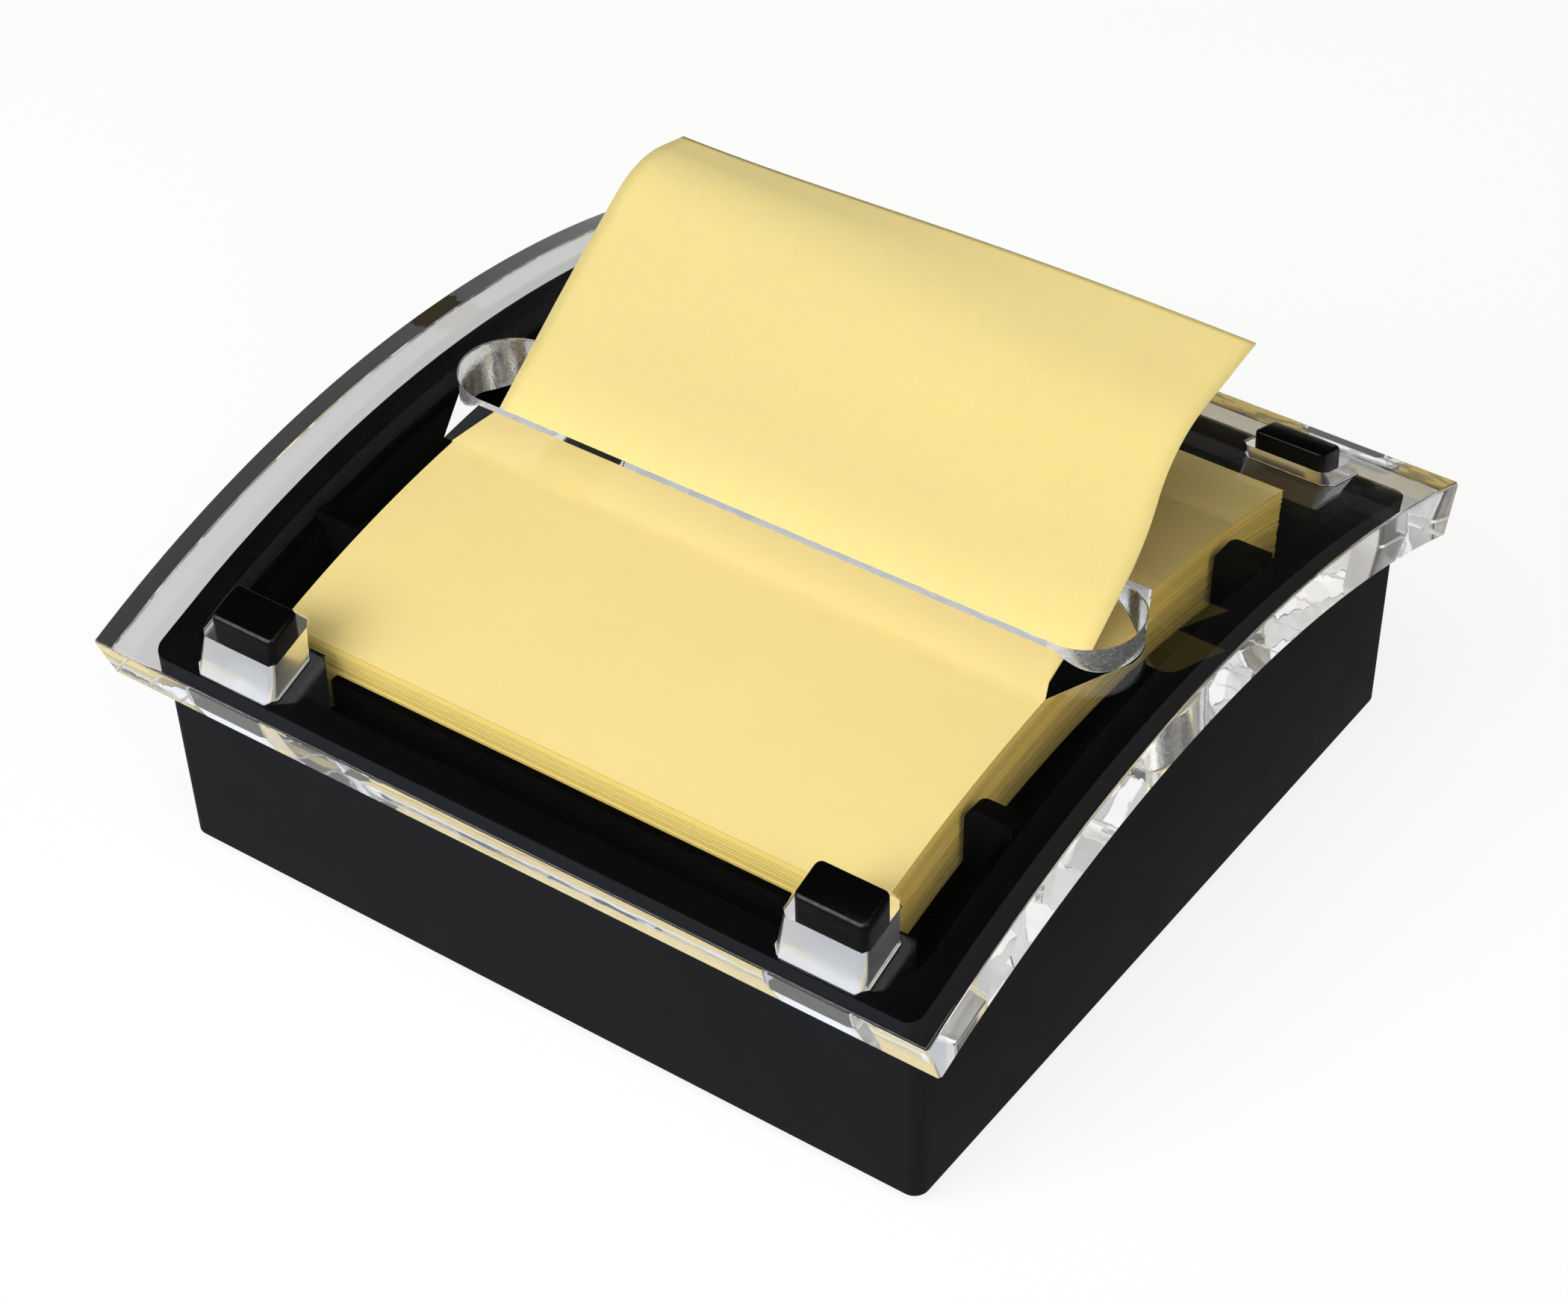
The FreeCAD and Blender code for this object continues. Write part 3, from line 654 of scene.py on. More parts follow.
def repeat_tree(name: str) -> bpy.types.NodeTree:
    """Builds a tree that repeats one shape at the corners of a rectangle.

    The copies on the far side are turned half round, so that the shape faces out on both sides.

    Args:
        name: The name of the tree.

    Returns:
        The tree.
    """
    tree = GeometryTree(
        name, Shape="Object", Spread_X="Float", Spread_Y="Float", Rows="Int", Material="Material"
    )
    grid = tree.add("GeometryNodeMeshGrid")
    grid.inputs["Vertices X"].default_value = 2
    tree.join(tree.given["Spread_X"], grid.inputs["Size X"])
    tree.join(tree.given["Spread_Y"], grid.inputs["Size Y"])
    tree.join(tree.given["Rows"], grid.inputs["Vertices Y"])
    place = tree.split(tree.add("GeometryNodeInputPosition").outputs["Position"])
    behind = tree.math("GREATER_THAN", place["Y"], 0.0)
    turn = tree.vector(Z=tree.math("MULTIPLY", behind, math.pi))
    shape = tree.add("GeometryNodeObjectInfo")
    tree.join(tree.given["Shape"], shape.inputs["Object"])
    copies = tree.add("GeometryNodeInstanceOnPoints")
    tree.join(grid.outputs["Mesh"], copies.inputs["Points"])
    tree.join(shape.outputs["Geometry"], copies.inputs["Instance"])
    tree.join(turn, copies.inputs["Rotation"])
    real = tree.add("GeometryNodeRealizeInstances")
    tree.join(copies.outputs["Instances"], real.inputs["Geometry"])
    return tree.end(real.outputs["Geometry"])


def repeated(
    name: str, shape: bpy.types.Object, spread: Plan, rows: int, material: bpy.types.Material
) -> bpy.types.Object:
    """Repeats a shape on both sides and takes the first one out of the scene.

    Args:
        name: The name of the piece.
        shape: The shape to repeat, made round the upright axis.
        spread: How far apart the copies are along X and Y, in millimetres.
        rows: How many rows of two there are along Y.
        material: The finish of all of them.

    Returns:
        The piece with all the copies.
    """
    made = new_object(name, bpy.data.meshes.new(name))
    values = {
        "Shape": shape,
        "Spread_X": spread[0] * MM,
        "Spread_Y": spread[1] * MM,
        "Rows": rows,
        "Material": material,
    }
    add_tree(made, repeat_tree(f"{name}_layout"), values)
    baked(made)
    bpy.data.objects.remove(shape)
    return made


def corner_nodes(piece: str) -> list[str]:
    """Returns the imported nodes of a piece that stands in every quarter."""
    return [f"{piece}_{row}_{side}" for row in ("front", "rear") for side in ("left", "right")]


def encloses(loop: Sequence[Plan], plan: Plan) -> bool:
    """Tells whether an outline goes round a point.

    Args:
        loop: The corners of the outline in plan.
        plan: The point.

    Returns:
        True for a point inside.
    """
    x, y = plan
    inside = False
    for (x1, y1), (x2, y2) in zip(loop, [*loop[1:], loop[0]]):
        if (y1 > y) != (y2 > y) and x < x1 + (x2 - x1) * (y - y1) / (y2 - y1):
            inside = not inside
    return inside


class FacedMesh:
    """Welded points and faces, with the shading normal of every face corner."""

    # Points are told apart in steps of this many to a metre.
    weld_steps: float = 1e7
    # A point this close to an edge of an outline, in millimetres, lies on it.
    fill_gap: float = 1e-5

    def __init__(self) -> None:
        """Starts with nothing."""
        self.points: list[Vector] = []
        self.faces: list[list[int]] = []
        self.normals: list[Vector] = []
        self.index: dict[tuple[int, ...], int] = {}

    def point(self, place: Vector) -> int:
        """Returns the number of the point at a place, new or already there."""
        key = tuple(round(c * self.weld_steps) for c in place)
        if key not in self.index:
            self.index[key] = len(self.points)
            self.points.append(place)
        return self.index[key]

    def face(self, corners: Sequence[Corner]) -> None:
        """Adds a face, turned to point the way its corner normals do.

        Args:
            corners: The place and shading normal of each corner. A corner at the same place as
                another one is dropped.
        """
        kept: dict[int, Vector] = {}
        for place, normal in corners:
            kept.setdefault(self.point(place), normal)
        if len(kept) < 3:
            return
        numbers = list(kept)
        mean = sum(kept.values(), Vector((0, 0, 0)))
        if face_normal([self.points[i] for i in numbers]).dot(mean) < 0:
            numbers.reverse()
        self.faces.append(numbers)
        self.normals.extend(kept[i] for i in numbers)

    def strip(self, first: Sequence[Corner], second: Sequence[Corner], closed: bool = True) -> None:
        """Adds a band of faces between two rows of corners.

        Args:
            first: One row.
            second: The other row, with as many corners.
            closed: Whether the rows close on themselves.
        """
        for i in range(len(first) if closed else len(first) - 1):
            j = (i + 1) % len(first)
            self.face([first[i], first[j], second[j], second[i]])

    def fill(
        self, loops: Sequence[Sequence[Plan]], inner: Sequence[Plan], lift: Callable[[Plan], Corner]
    ) -> None:
        """Fills a plan outline with triangles, leaving its holes open.

        Args:
            loops: The outline and then its holes, in plan.
            inner: Extra points inside, which let the face follow a curve.
            lift: Gives the place and normal of a plan point.
        """
        points = [p for loop in loops for p in loop]
        edges = []
        for loop in loops:
            start = len(edges)
            edges += [(start + i, start + (i + 1) % len(loop)) for i in range(len(loop))]
        points += inner
        filled = delaunay_2d_cdt([Vector(p) for p in points], edges, [], 1, self.fill_gap)
        _, _, triangles, sources, _, _ = filled
        for triangle in triangles:
            corners = [points[sources[i][0]] for i in triangle]
            middle = (sum(p[0] for p in corners) / 3, sum(p[1] for p in corners) / 3)
            if not any(encloses(hole, middle) for hole in loops[1:]):
                self.face([lift(p) for p in corners])

    def to_object(self, name: str, material: bpy.types.Material) -> bpy.types.Object:
        """Makes the piece.

        Args:
            name: The name of the piece.
            material: Its finish.

        Returns:
            The new object.
        """
        mesh = bpy.data.meshes.new(name)
        mesh.from_pydata(self.points, [], self.faces)
        mesh.shade_smooth()
        mesh.normals_split_custom_set(self.normals)
        mesh.materials.append(material)
        return new_object(name, mesh)


def rounded_copy(
    node: str, name: str, width: float, material: bpy.types.Material
) -> bpy.types.Object:
    """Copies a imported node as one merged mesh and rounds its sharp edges.

    Args:
        node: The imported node.
        name: The name of the piece.
        width: The width of the rounding in millimetres.
        material: The finish.

    Returns:
        The new object.
    """
    shape = bmesh.new()
    shape.from_mesh(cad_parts[node].data)
    bmesh.ops.remove_doubles(shape, verts=shape.verts, dist=MERGE_DISTANCE)
    bmesh.ops.dissolve_limit(
        shape, angle_limit=FLAT_ANGLE, verts=shape.verts, edges=shape.edges
    )
    mesh = bpy.data.meshes.new(name)
    shape.to_mesh(mesh)
    shape.free()
    mesh.materials.clear()
    mesh.materials.append(material)
    mesh.shade_smooth()
    made = new_object(name, mesh)
    bevel = made.modifiers.new("edge_rounding", "BEVEL")
    bevel.width = width * MM
    bevel.segments = ROUNDING_STEPS
    bevel.limit_method = "ANGLE"
    bevel.angle_limit = ROUNDED_ANGLE
    bevel.harden_normals = True
    return made


def round_edges(
    shape: bmesh.types.BMesh, edges: list[bmesh.types.BMEdge], width: float, steps: int
) -> None:
    """Rounds edges of a shape.

    Args:
        shape: The shape.
        edges: The edges.
        width: The width of the rounding in millimetres.
        steps: How many facets it has.
    """
    bmesh.ops.bevel(
        shape,
        geom=edges,
        offset=width * MM,
        segments=steps,
        profile=ROUND_PROFILE,
        affect="EDGES",
    )


@dataclass(frozen=True)
class Arch:
    """The round of the dispenser, on an axis along X under the middle."""

    crown: float = 40.1
    lid_top: float = 138.0
    lid_thick: float = 6.4
    pad_top: float = 130.7
    pad_under: float = 122.7

    @property
    def centre(self) -> float:
        """Height of the axis."""
        return self.crown - self.lid_top

    @property
    def lid_under(self) -> float:
        """Radius of the lid's underside."""
        return self.lid_top - self.lid_thick

    def height(self, radius: float, y: float) -> float:
        """Returns the height of a round of that radius at a distance from the middle."""
        return self.centre + math.sqrt(radius**2 - y**2)


@dataclass(frozen=True)
class Rim:
    """A point of an outline in plan, with the direction that leads away from the material."""

    x: float
    y: float
    away_x: float
    away_y: float

    def inward(self, distance: float) -> Plan:
        """Returns the plan point that far inside the material."""
        return self.x - self.away_x * distance, self.y - self.away_y * distance


@dataclass
class ClearLid:
    """Arched clear plate with the note slot and the four peg holes."""

    arch: Arch
    material: bpy.types.Material
    half_width: float = 52.5
    half_depth: float = 51.83
    edge: float = 0.3
    slot_half_length: float = 42.9
    slot_half_width: float = 5.9
    land: float = 2.2
    flare_half_length: float = 38.6
    mouth_half_width: float = 9.9
    hole_half_x: float = 4.9
    hole_half_y: float = 3.05
    hole_corner: float = 0.5
    hole_draft: float = 4.0
    round_steps: int = 10
    run_out_steps: int = 3
    rows_x: int = 30
    rows_y: int = 44
    row_gap: float = 0.8

    def top(self, plan: Plan) -> Corner:
        """Returns the place and normal of a point of the top."""
        return self.on_round(plan, self.arch.lid_top, 1)

    def under(self, plan: Plan) -> Corner:
        """Returns the place and normal of a point of the underside."""
        return self.on_round(plan, self.arch.lid_under, -1)

    def on_round(self, plan: Plan, radius: float, side: int) -> Corner:
        """Places a plan point on a round.

        Args:
            plan: The point in plan.
            radius: The radius of the round.
            side: 1 for a face that looks out and -1 for one that looks in.

        Returns:
            The place in metres and the normal.
        """
        x, y = plan
        normal = Vector((0, y, math.sqrt(radius**2 - y**2))).normalized() * side
        return Vector((x, y, self.arch.height(radius, y))) * MM, normal

    def outline(self) -> list[Rim]:
        """Returns the outline of the plate at its top, with many points along its arched sides."""
        w, d, e, n = self.half_width, self.half_depth, self.edge, self.rows_y
        rows = [-d + e + (2 * d - 2 * e) * i / n for i in range(n + 1)]
        columns = [-w + e + (2 * w - 2 * e) * i / self.rows_x for i in range(self.rows_x + 1)]
        rims = [Rim(x, -d, 0, -1) for x in columns]
        rims += [Rim(w, y, 1, 0) for y in rows]
        rims += [Rim(x, d, 0, 1) for x in reversed(columns)]
        rims += [Rim(-w, y, -1, 0) for y in reversed(rows)]
        return rims

    def build_edge(self, mesh: FacedMesh) -> tuple[list[Plan], list[Plan]]:
        """Builds the outer edge, which stands square to the arch.

        Args:
            mesh: The mesh that gets the faces.

        Returns:
            The outlines of the top and of the underside in plan.
        """
        arch, rims = self.arch, self.outline()
        share = arch.lid_under / arch.lid_top
        tops = [rim.inward(self.edge) for rim in rims]
        unders = [(x, y * share) for x, y in tops]
        radii = (arch.lid_top - self.edge, arch.lid_under + self.edge)
        upper, lower = [], []
        for rim in rims:
            angle = math.asin(rim.y / arch.lid_top)
            along, up = math.sin(angle), math.cos(angle)
            normal = Vector((rim.away_x, rim.away_y * up, -rim.away_y * along))
            for row, radius in zip((upper, lower), radii):
                place = Vector((rim.x, radius * along, arch.centre + radius * up))
                row.append((place * MM, normal))
        top_row = [self.top(p) for p in tops]
        under_row = [self.under(p) for p in unders]
        for first, second in ((top_row, upper), (upper, lower), (lower, under_row)):
            mesh.strip(first, second)
        return tops, unders

    def build_hole(self, mesh: FacedMesh, middle: Plan) -> tuple[list[Plan], list[Plan]]:
        """Builds the walls of a peg hole, which widens downwards.

        Args:
            mesh: The mesh that gets the faces.
            middle: The middle of the hole in plan.

        Returns:
            The outlines of the hole in the top and in the underside.
        """
        (x, y), cut = middle, self.hole_corner
        half_x, half_y = self.hole_half_x, self.hole_half_y
        rims = []
        for sign_x, sign_y in ((-1, -1), (1, -1), (1, 1), (-1, 1)):
            along_x = Rim(x + sign_x * (half_x - cut), y + sign_y * half_y, 0, -sign_y)
            along_y = Rim(x + sign_x * half_x, y + sign_y * (half_y - cut), -sign_x, 0)
            rims += [along_y, along_x] if sign_x == sign_y else [along_x, along_y]
        slope = math.radians(self.hole_draft)
        widening = self.arch.lid_thick * math.tan(slope)
        tops = [rim.inward(self.edge) for rim in rims]
        unders = [rim.inward(widening + self.edge) for rim in rims]
        upper, lower = [], []
        for rim in rims:
            normal = Vector((rim.away_x, rim.away_y, -math.tan(slope))).normalized()
            high = self.arch.height(self.arch.lid_top, rim.y) - self.edge
            upper.append((Vector((rim.x, rim.y, high)) * MM, normal))
            x, y = rim.inward(widening)
            low = self.arch.height(self.arch.lid_under, y) + self.edge
            lower.append((Vector((x, y, low)) * MM, normal))
        mesh.strip([self.top(p) for p in tops], upper)
        mesh.strip(upper, lower)
        mesh.strip(lower, [self.under(p) for p in unders])
        return tops, unders

    def build_slot(self, mesh: FacedMesh) -> tuple[list[Plan], list[Plan]]:
        """Builds the slot: an upright land all round, and two flares under its long sides.

        Args:
            mesh: The mesh that gets the faces.

        Returns:
            The outlines of the slot in the top and in the underside.
        """
        ends = [self.slot_end(side) for side in (1, -1)]
        rims = ends[0] + ends[1]
        tops = [rim.inward(self.edge) for rim in rims]
        upper = [self.slot_corner(rim, self.edge) for rim in rims]
        mesh.strip([self.top(p) for p in tops], upper)
        mesh.strip(upper, [self.slot_corner(rim, self.land) for rim in rims])
        unders: list[Plan] = []
        for side, end in zip((1, -1), ends):
            unders += self.build_slot_end(mesh, side, end)
        straight = self.slot_half_length - self.slot_half_width
        for y_side in (-1, 1):
            rows = []
            for x_side in (-1, 1):
                rim = Rim(x_side * straight, y_side * self.slot_half_width, 0, -y_side)
                mouth = (x_side * self.flare_half_length, y_side * self.mouth_half_width)
                rows.append((self.slot_corner(rim, self.land)[0], self.under(mouth)[0]))
            fall = rows[0][1] - rows[0][0]
            normal = Vector((0, fall.z, -fall.y)).normalized() * y_side
            corners = [rows[0][0], rows[1][0], rows[1][1], rows[0][1]]
            mesh.face([(corner, normal) for corner in corners])
        return tops, unders

    @property
    def touch_angle(self) -> float:
        """Angle at which a line from a corner of the flare's mouth touches the round end."""
        reach_x = self.flare_half_length - (self.slot_half_length - self.slot_half_width)
        reach = math.hypot(reach_x, self.mouth_half_width)
        return math.atan2(self.mouth_half_width, reach_x) - math.acos(self.slot_half_width / reach)

    def slot_end(self, side: int) -> list[Rim]:
        """Returns the round end of the slot on one side, from its front corner to its rear one."""
        radius, steps = self.slot_half_width, self.round_steps
        straight = self.slot_half_length - radius
        stops = [side * a for a in (-math.pi / 2, -self.touch_angle, self.touch_angle, math.pi / 2)]
        turns = []
        for low, high in zip(stops, stops[1:]):
            turns += [low + (high - low) * i / steps for i in range(steps)]
        rims = []
        for turn in [*turns, stops[-1]]:
            across, along = math.cos(turn), math.sin(turn)
            x, y = side * (straight + radius * across), radius * along
            rims.append(Rim(x, y, -side * across, -along))
        return rims

    def build_slot_end(self, mesh: FacedMesh, side: int, rims: Sequence[Rim]) -> list[Plan]:
        """Builds the wall of a round end and the two facets that close the flares.

        Args:
            mesh: The mesh that gets the faces.
            side: 1 for the right end and -1 for the left one.
            rims: The points of the end.

        Returns:
            The outline of this end in the underside.
        """
        steps, run_out = self.round_steps, self.run_out_steps
        wall = [self.slot_corner(rim, self.land) for rim in rims]
        middle = rims[steps:2 * steps + 1]
        foot, plans = [], []
        for i, rim in enumerate(middle):
            # The rounding runs out towards the facets on both sides.
            edge = self.edge * min(1, i / run_out, (steps - i) / run_out)
            plans.append(rim.inward(edge))
            level = self.arch.height(self.arch.lid_under, rim.y) + edge
            foot.append((Vector((rim.x, rim.y, level)) * MM, Vector((rim.away_x, rim.away_y, 0))))
        mesh.strip(wall[steps:2 * steps + 1], foot, closed=False)
        mesh.strip(foot, [self.under(p) for p in plans], closed=False)
        tips = []
        for first, touch, along in ((0, steps, 1), (3 * steps, 2 * steps, -1)):
            y_side = 1 if rims[first].y > 0 else -1
            tip = (side * self.flare_half_length, y_side * self.mouth_half_width)
            tips.append(tip)
            corner, point = wall[first][0], self.under(tip)[0]
            end = foot[0 if along > 0 else -1][0]
            plane = (point - corner).cross(end - corner).normalized()
            plane *= -side if plane.x > 0 else side
            cut = []
            for rim in rims[first:touch + along:along]:
                place = Vector((rim.x, rim.y, 0)) * MM
                drop = plane.x * (place.x - corner.x) + plane.y * (place.y - corner.y)
                place.z = corner.z - drop / plane.z
                cut.append((place, Vector((rim.away_x, rim.away_y, 0))))
            cut[-1] = (end, cut[-1][1])
            mesh.strip(wall[first:touch + along:along], cut, closed=False)
            for (near, _), (far, _) in zip(cut, cut[1:]):
                mesh.face([(point, plane), (near, plane), (far, plane)])
        return [tips[0], *plans, tips[1]]

    def slot_corner(self, rim: Rim, depth: float) -> Corner:
        """Returns the place and normal of a point of the slot's wall, that far under the top."""
        level = self.arch.height(self.arch.lid_top, rim.y) - depth
        return Vector((rim.x, rim.y, level)) * MM, Vector((rim.away_x, rim.away_y, 0))

    def inner_points(self, loops: Sequence[Sequence[Plan]]) -> list[Plan]:
        """Lays a grid of points over the plate, clear of its outline and openings.

        Args:
            loops: The outline and then the openings, in plan.

        Returns:
            The points of the grid.
        """
        gap, boxes = self.row_gap, []
        for loop in loops:
            xs, ys = zip(*loop)
            boxes.append((min(xs), max(xs), min(ys), max(ys)))
        left, right, front, rear = boxes[0]
        points = []
        for i in range(1, self.rows_x):
            for j in range(1, self.rows_y):
                x = left + (right - left) * i / self.rows_x
                y = front + (rear - front) * j / self.rows_y
                clear = all(
                    x < low_x - gap or x > high_x + gap or y < low_y - gap or y > high_y + gap
                    for low_x, high_x, low_y, high_y in boxes[1:]
                )
                if clear:
                    points.append((x, y))
        return points

    def build(self) -> bpy.types.Object:
        """Builds the plate and joins it to the frame."""
        mesh = FacedMesh()
        loops = [self.build_edge(mesh), self.build_slot(mesh)]
        for x in (-PEG_PLACE[0], PEG_PLACE[0]):
            for y in (-PEG_PLACE[1], PEG_PLACE[1]):
                loops.append(self.build_hole(mesh, (x, y)))
        tops, unders = zip(*loops)
        mesh.fill(tops, self.inner_points(tops), self.top)
        mesh.fill(unders, self.inner_points(unders), self.under)
        return finished(mesh.to_object("clear_lid", self.material), Body.LID, Slot.LID, "lid")


@dataclass
class Housing:
    """Black moulded base and the tray that sits in it."""

    arch: Arch
    base_finish: bpy.types.Material
    tray_finish: bpy.types.Material
    weight_finish: bpy.types.Material
    base_edge: float = 0.45
    tray_edge: float = 0.25
    corner: Plan = (41.9, 40.23)
    outer_reach: float = 4.4
    corner_share: float = 0.27
    rim_depth: float = 0.6
    slack: float = 0.01

    def tighten_corners(self, shell: bpy.types.Object) -> None:
        """Makes the upright outer corners of the base tighter, and keeps its walls in their planes.

        Points of the outer round move out to where the walls would meet, but for the share that
        is left of the round. Those at the top of the wall also follow the arch of the lid.

        Args:
            shell: The copy of the base, with corners that are round about the corner's middle.
        """
        for vertex in shell.data.vertices:
            x, y, z = vertex.co / MM
            reach = (abs(x) - self.corner[0], abs(y) - self.corner[1])
            distance = math.hypot(*reach)
            if min(reach) < -self.slack or distance < self.outer_reach:
                continue
            moved = [
                math.copysign(middle + distance + self.corner_share * (side - distance), old)
                for middle, side, old in zip(self.corner, reach, (x, y))
            ]
            lid = self.arch.height(self.arch.lid_under, y)
            if z > lid - self.rim_depth:
                z += self.arch.height(self.arch.lid_under, moved[1]) - lid
            vertex.co = Vector((*moved, z)) * MM

    def build(self) -> None:
        """Rounds the moulded pieces and dresses the weight."""
        shell = rounded_copy("base_shell", "moulded_base", self.base_edge, self.base_finish)
        self.tighten_corners(shell)
        finished(shell, Body.BASE, Slot.BASE, "base_shell")
        tray = rounded_copy("note_tray", "moulded_tray", self.tray_edge, self.tray_finish)
        finished(tray, Body.BASE, Slot.TRAY, "note_tray")
        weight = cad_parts["weight_plate"]
        weight.data.materials.clear()
        weight.data.materials.append(self.weight_finish)
        LOG.info("weight_plate dressed")


@dataclass
class LidPegs:
    """The four pegs that come up through the lid."""

    arch: Arch
    material: bpy.types.Material
    width: float = 8.6
    depth: float = 4.5
    foot: float = 18.1
    proud: float = 1.7
    corner: float = 0.8
    corner_steps: int = 5
    edge: float = 0.45
    edge_steps: int = 4
    upright_rise: float = 5.0
    crease_angle: float = 35.0

    def build(self) -> bpy.types.Object:
        """Builds one peg with rounded edges and repeats it at the four corners."""
        shape = bmesh.new()
        bmesh.ops.create_cube(shape, size=1.0)
        for vertex in shape.verts:
            x, y = vertex.co.x * self.width, vertex.co.y * self.depth
            top = self.arch.height(self.arch.lid_top + self.proud, y - PEG_PLACE[1])
            vertex.co = Vector((x, y, top if vertex.co.z > 0 else self.foot)) * MM
        upright = []
        for edge in shape.edges:
            low, high = sorted(vertex.co.z for vertex in edge.verts)
            if high - low > self.upright_rise * MM:
                upright.append(edge)
        round_edges(shape, upright, self.corner, self.corner_steps)
        crown = max(shape.faces, key=lambda face: face.calc_center_median().z)
        round_edges(shape, list(crown.edges), self.edge, self.edge_steps)
        mesh = bpy.data.meshes.new("peg")
        shape.to_mesh(mesh)
        shape.free()
        mesh.shade_smooth()
        mesh.set_sharp_from_angle(angle=math.radians(self.crease_angle))
        peg = new_object("peg", mesh)
        spread = (2 * PEG_PLACE[0], 2 * PEG_PLACE[1])
        pegs = repeated("lid_pegs", peg, spread, 2, self.material)
        return finished(pegs, Body.BASE, Slot.PEG, *corner_nodes("peg"))


@dataclass
class NotePad:
    """The bowed stack of notes."""

    arch: Arch
    material: bpy.types.Material
    note: float = 76.2
    sheets: int = 80
    unevenness: float = 0.09
    seed: int = 7
    steps: int = 36

    def tree(self) -> bpy.types.NodeTree:
        """Builds the tree that lays flat sheets on each other and bows them over the tray.

        Each sheet keeps its length when it is bowed, so the ends of the stack stay upright.

        Returns:
            The tree.
        """
        tree = GeometryTree(
            "bowed_stack",
            Note="Float",
            Sheets="Int",
            Pitch="Float",
            Unevenness="Float",
            Radius="Float",
            Centre="Float",
            Seed="Int",
            Material="Material",
        )
        given = tree.given
        sheet = tree.add("GeometryNodeMeshCube")
        sheet.inputs["Vertices Y"].default_value = self.steps
        size = tree.vector(X=given["Note"], Y=given["Note"], Z=given["Pitch"])
        tree.join(size, sheet.inputs["Size"])
        levels = tree.add("GeometryNodeMeshLine")
        first = tree.vector(Z=tree.math("MULTIPLY", given["Pitch"], 0.5))
        tree.join(given["Sheets"], levels.inputs["Count"])
        tree.join(first, levels.inputs["Start Location"])
        tree.join(tree.vector(Z=given["Pitch"]), levels.inputs["Offset"])
        draws = []
        for step in range(3):
            draw = tree.add("FunctionNodeRandomValue", data_type="FLOAT")
            tree.join(tree.math("ADD", given["Seed"], float(step)), draw.inputs["Seed"])
            draws.append(draw)
        slip_x, slip_y, tone = (number_sockets(draw.outputs)[0] for draw in draws)
        for draw in draws[:2]:
            low, high, *_ = number_sockets(draw.inputs)
            tree.join(tree.math("MULTIPLY", given["Unevenness"], -1.0), low)
            tree.join(given["Unevenness"], high)
        laid = tree.add("GeometryNodeSetPosition")
        tree.join(levels.outputs["Mesh"], laid.inputs["Geometry"])
        tree.join(tree.vector(X=slip_x, Y=slip_y), laid.inputs["Offset"])
        toned = tree.add("GeometryNodeStoreNamedAttribute", data_type="FLOAT", domain="POINT")
        toned.inputs["Name"].default_value = SHEET_TONE
        tree.join(laid.outputs["Geometry"], toned.inputs["Geometry"])
        tree.join(tone, number_sockets(toned.inputs)[0])
        stack = tree.add("GeometryNodeInstanceOnPoints")
        tree.join(toned.outputs["Geometry"], stack.inputs["Points"])
        tree.join(sheet.outputs["Mesh"], stack.inputs["Instance"])
        real = tree.add("GeometryNodeRealizeInstances")
        tree.join(stack.outputs["Instances"], real.inputs["Geometry"])
        place = tree.split(tree.add("GeometryNodeInputPosition").outputs["Position"])
        radius = tree.math("ADD", given["Radius"], place["Z"])
        angle = tree.math("DIVIDE", place["Y"], radius)
        along = tree.math("MULTIPLY", radius, tree.math("SINE", angle))
        height = tree.math("MULTIPLY", radius, tree.math("COSINE", angle))
        bowed = tree.vector(X=place["X"], Y=along, Z=tree.math("ADD", height, given["Centre"]))
        bow = tree.add("GeometryNodeSetPosition")
        tree.join(real.outputs["Geometry"], bow.inputs["Geometry"])
        tree.join(bowed, bow.inputs["Position"])
        return tree.end(bow.outputs["Geometry"])

    def build(self) -> bpy.types.Object:
        """Builds the stack and joins it to the frame."""
        pad = new_object("sheet_stack", bpy.data.meshes.new("sheet_stack"))
        values = {
            "Note": self.note * MM,
            "Sheets": self.sheets,
            "Pitch": (self.arch.pad_top - self.arch.pad_under) / self.sheets * MM,
            "Unevenness": self.unevenness * MM,
            "Radius": self.arch.pad_under * MM,
            "Centre": self.arch.centre * MM,
            "Seed": self.seed,
            "Material": self.material,
        }
        add_tree(pad, self.tree(), values)
        return finished(baked(pad), Body.BASE, Slot.PAD, "note_pad")


@dataclass(frozen=True)
class Bend:
    """A stretch of a sheet that turns evenly."""

    length: float
    turn: float


